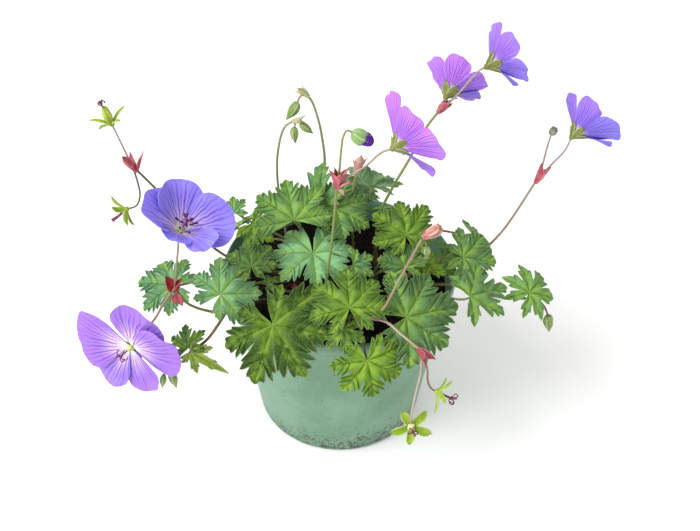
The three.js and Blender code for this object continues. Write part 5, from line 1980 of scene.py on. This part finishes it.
STEMS = (
    FloweringStem("stem_centre", (-8, -38), (
        Route(((-8, -38, 91), (-6.5, -38.9, 125), (-3.9, -36, 148), (-1, -32, 183)), (0.95, 0.9)),
        Route(((-1, -32, 182), (0, -32, 190), (0.8, -31.3, 201), (1.8, -31, 208.5), (3.6, -31, 212),
               (6.4, -31, 211)), (0.8, 0.65), end=Bud((80, -30), 7.4, 3.8, True, Finish.PALE_BUD)),
        Route(((-1, -32, 182), (6, -32, 187), (13, -33, 193), (20, -35, 202)), (0.8, 0.7), "centre",
              skin=Finish.PEDICEL))),
    FloweringStem("stem_right", (20, 4), (
        Route(((20, 4, 91), (20, 5, 115), (22, 6, 134), (29, 7, 152), (37, 9, 168), (45, 10, 187),
               (53, 10, 200)), (1.2, 0.9)),
        Route(((53, 10, 199), (54, 10, 202)), (0.8, 0.7), "right_middle", skin=Finish.PEDICEL),
        Route(((53, 10, 199), (59, 5.5, 209), (66, 7, 218), (70, 9, 221.5)), (0.75, 0.65), "right_top",
              skin=Finish.PEDICEL))),
    FloweringStem("stem_far_right", (34, -2), (
        Route(((34, -2, 91), (46, 0, 101), (62, 3, 107), (78, 6, 107.5), (88, 4, 121), (106, 5, 160)),
              (1.2, 0.85)),
        Route(((106, 5, 159), (112, 5, 168), (117, 4.5, 176)), (0.75, 0.65), "far_right"),
        Route(((106, 5, 159), (107, 5, 170), (108, 5, 179), (109, 5, 186)), (0.75, 0.65),
              end=Bud((60, 70), 4.5, 2.0, True, Finish.DRY_BUD))), skin=Finish.ROSY_STEM),
    FloweringStem("stem_back_left", (-26, 8), (
        Route(((-26, 8, 91), (-31, 16, 120), (-34, 21, 146), (-33, 22, 165), (-29, 21, 180),
               (-25, 20, 184)), (1.1, 0.75)),
        Route(((-25.5, 20, 184), (-23.5, 20, 183), (-24, 20, 180)), (0.7, 0.65),
              end=Bud((20, -80), 9, 2.2)),
        Route(((-25.5, 20, 184), (-22, 20, 184.5), (-20.5, 20, 182.5)), (0.7, 0.65),
              end=Bud((75, -35), 8.5, 2.1))),
        tufts=(Tuft((-25, 20, 184), (90, 10), (Bract(20, 12, 7), Bract(140, 10, 8), Bract(260, 18, 6)),
                    Finish.PALE_LEAFLET),), skin=Finish.GREY_STEM),
    FloweringStem("stem_back", (-10, 14), (
        Route(((-10, 14, 91), (-9, 19, 130), (-8, 19.5, 160), (-9, 17, 174), (-11, 14, 189), (-15, 12, 203),
               (-18.5, 11, 206), (-20.5, 11, 204), (-21.5, 11, 201)), (1.1, 0.7),
               end=Bud((-60, -50), 10.5, 2.8)),),
        tufts=(Tuft((-15.6, 12, 204.2), (-90, 40), (Bract(10, 8, 8), Bract(120, 12, 9), Bract(230, 20, 7)),
                    Finish.PALE_LEAFLET),), skin=Finish.GREY_STEM),
    FloweringStem("stem_short", (9, 11), (
        Route(((9, 11, 91), (7, 5, 125), (7, 4, 150), (10, 6, 165)), (1, 0.8)),)),
    FloweringStem("stem_far_left", (-30, 0), (
        Route(((-30, 0, 91), (-40, -4, 106), (-56, -8, 112), (-67, -9, 121), (-79, -10, 138),
               (-95, -10, 162), (-105.5, -10, 176.5)), (1.2, 0.85)),
        Route(((-105.5, -10, 175.5), (-109, -10, 188), (-113, -10, 202)), (0.75, 0.65),
              end=SeedHead((-80, 74), 60, 52, 10.5, 13.4, 2.2, ovary=11, sepal=0.26, curls=1.8,
                           skin=Finish.POD), skin=Finish.ROSY_STEM),
        Route(((-105.5, -10, 175.5), (-104, -11, 168), (-103.3, -12.5, 160), (-105.5, -14, 154.5),
               (-111, -14, 152)), (0.7, 0.65),
              end=SeedHead((-75, -35), 10, 60, 9.5, 9.5, 1.8, ovary=3, sepal=0.4, curls=0.9, style=0.95))),
        skin=Finish.DARK_STEM),
    FloweringStem("stem_left", (-30, -20), (
        Route(((-30, -20, 91), (-40, -29, 102), (-52, -39, 107), (-61, -46, 107)), (1.5, 1.3)),
        Route(((-60, -45, 107), (-67, -46, 109), (-75, -47, 113), (-80, -48, 118), (-84, -50, 130)),
              (1.1, 0.9)),
        Route(((-84, -50, 129), (-82, -51, 143), (-80, -51, 155)), (0.8, 0.7), "upper_left",
              skin=Finish.PEDICEL),
        Route(((-84, -50, 129), (-89, -53, 123), (-95, -57, 114), (-101, -61, 108)), (0.9, 0.8),
              "lower_left", skin=Finish.ROSY_STEM),
        Route(((-60, -45, 107), (-65, -50, 101), (-70, -54, 96), (-79, -57, 90)), (1.2, 1)),
        Route(((-78, -57, 90.5), (-86, -57, 84), (-90, -57, 76)), (0.85, 0.65),
              end=Bud((60, -80), 12, 2.4)),
        Route(((-86, -57, 84), (-92, -56, 79), (-94.5, -56, 72)), (0.7, 0.65),
              end=Bud((-60, -78), 9, 1.8))), (
        Leaf((-79, -60, 96), 13, (-20, 45), 205, YOUNG, start=(-78, -57, 90.5), fold=0.7, tint=0.6,
             light=0.2),
        # Pale spear leaf, drawn lighter as painted light in the shadow of the spent bloom beside it.
        Leaf((-77.4, -62, 95), 23, (10, 40), 53, SPEAR, droop=0.06, start=(-76, -56.5, 91.5), tint=0.9,
             light=0.95, finish=Finish.LEAF_PALE))),
    FloweringStem("stem_front", (4, -38), (
        Route(((4, -38, 91), (5, -46, 105), (7, -54, 113), (9, -58, 116)), (1.5, 1.3)),
        Route(((8.5, -57, 115.5), (16, -64, 121), (22, -64, 127.5), (30, -55, 139), (41, -44, 156)),
              (0.9, 0.8), skin=Finish.PEDICEL),
        Route(((8.5, -57, 115.5), (18, -62, 118.5), (24, -65, 119), (31, -70, 115.5), (37, -74, 112.5),
               (43, -78, 109.5)), (1, 0.85), skin=Finish.PALE_STEM),
        Route(((42, -77.3, 110), (41, -80, 96), (39, -82, 84), (37.5, -83, 70), (37.7, -82.5, 60.8)),
              (0.85, 0.7), end=SeedHead((5, 20), 137, 76, 10.8, 7, 2.2, ovary=3, sepal=0.46, curls=2.8),
              skin=Finish.PALE_STEM),
        Route(((42, -77.3, 110), (44.5, -80, 100), (45, -81, 93), (47, -82, 88.5), (50, -82, 86.5)),
              (0.75, 0.65),
              end=SeedHead((80, -25), 175, 60, 10.5, 9.5, 1.5, ovary=3.2, sepal=0.27, curls=3, style=0.7),
              skin=Finish.ROSY_STEM),
        Route(((39, -44.7, 153), (42.5, -44, 154.5), (43.5, -44, 151)), (0.7, 0.65),
              end=Bud((90, -85), 7, 2.2))), (
        Leaf((5, -63, 127), 24, (-4, 64), 189, BROAD, start=(8, -56, 115), tint=0.95, light=0.5),
        Leaf((2, -67, 116), 14, (0, 50), 10, YOUNG, start=(7.5, -55, 114), tint=0.75, light=0.4),
        Leaf((14, -77, 104), 23, (12, 22), 6, BROAD, start=(9, -58, 115), tint=1, light=0.85))),
    FloweringStem("stem_low_right", (32, -18), (
        Route(((32, -18, 91), (44, -20, 103), (60, -22, 107), (78, -23, 101), (94, -22, 97),
               (103, -22, 97)), (1.2, 0.9)),
        Route(((102, -22, 97), (108, -22, 96), (112, -22, 92), (115.5, -22, 84)), (0.75, 0.65),
              end=Bud((90, -82), 12, 2.8))), (
        Leaf((103, -22, 101), 19, (40, 50), 105, STAR, start=(100, -22, 97), tint=0.7, light=1),)),
)

COLLARS = {
    "bracts_centre": Tuft((-1.2, -32.2, 179), (100, 84), (
        Bract(198, 21, 13.4), Bract(122, 13, 10.9), Bract(278, 14, 12), Bract(346, 16, 14.1),
        Bract(339, 46, 8.1, pale=0.7), Bract(307, 113, 4.7, pale=1), Bract(60, 40, 7)), Finish.ROSE_BRACT),
    "bracts_right": Tuft((50.5, 10, 195.8), (91, 58), (
        Bract(345, 10, 9.6, 0.5), Bract(290, 18, 9.5, 0.5), Bract(19, 30, 8.5, 0.45),
        Bract(221, 16, 9, 0.5), Bract(90, 14, 8.8, 0.5), Bract(150, 16, 9, 0.5)), Finish.ROSE_BRACT, -0.2),
    "bracts_far_right": Tuft((104.2, 4.6, 155.3), (105, 64), (
        Bract(185, 18, 13.1, 0.42), Bract(287, 14, 13, 0.26), Bract(40, 10, 9, 0.4), Bract(107, 18, 7.2)),
        Finish.ROSE_BRACT, -0.1),
    "bracts_short": Tuft((9, 5.2, 161.5), (120, 76), (
        Bract(237, 15, 13.9), Bract(325, 15, 10.7), Bract(61, 12, 8.6), Bract(170, 20, 9)),
        Finish.PALE_BRACT),
    "bracts_far_left": Tuft((-103.6, -10, 173.4), (-90, 58), (
        Bract(115, 24, 16.5, 0.26), Bract(260, 30, 10.2), Bract(169, 50, 14.2, 0.2)), Finish.ROSE_BRACT),
    "bracts_left": Tuft((-83.3, -49.6, 126), (-60, 68), (
        Bract(269, 18, 10.4, 0.6), Bract(157, 34, 9.9, 0.5), Bract(72, 132, 7.4, 0.5, pale=0.6),
        Bract(30, 120, 6, 0.4, pale=0.3))),
    "bracts_front": Tuft((39.5, -75.7, 111.2), (56, -22), (
        Bract(357, 35, 12), Bract(50, 29, 11.9, 0.3), Bract(250, 40, 9)), Finish.ROSE_BRACT),
}

TIPS = (
    Tip("bud_petals", (10.2, -31.5, 208.9), (80, -30), 7, 3.3, Finish.BUD_PETAL, "petal"),
    Tip("calyx_pink", (41.7, -43.8, 157), (90, 38), 11, 3.4, Finish.CALYX, "bract"),
)


def main() -> None:
    Studio().build()
    pot = Pot()
    pot.build()
    Soil(pot).build()
    blooms = {bloom.name: bloom for bloom in BLOOMS}
    for shoot in SHOOTS:
        shoot.build()
    for stem in STEMS:
        stem.build(blooms)
    for bloom in BLOOMS:
        bloom.build_petals()
        bloom.build_centre()
    for name, tuft in COLLARS.items():
        tuft.build(name)
    for tip in TIPS:
        tip.build()


if __name__ == "__main__":
    main()
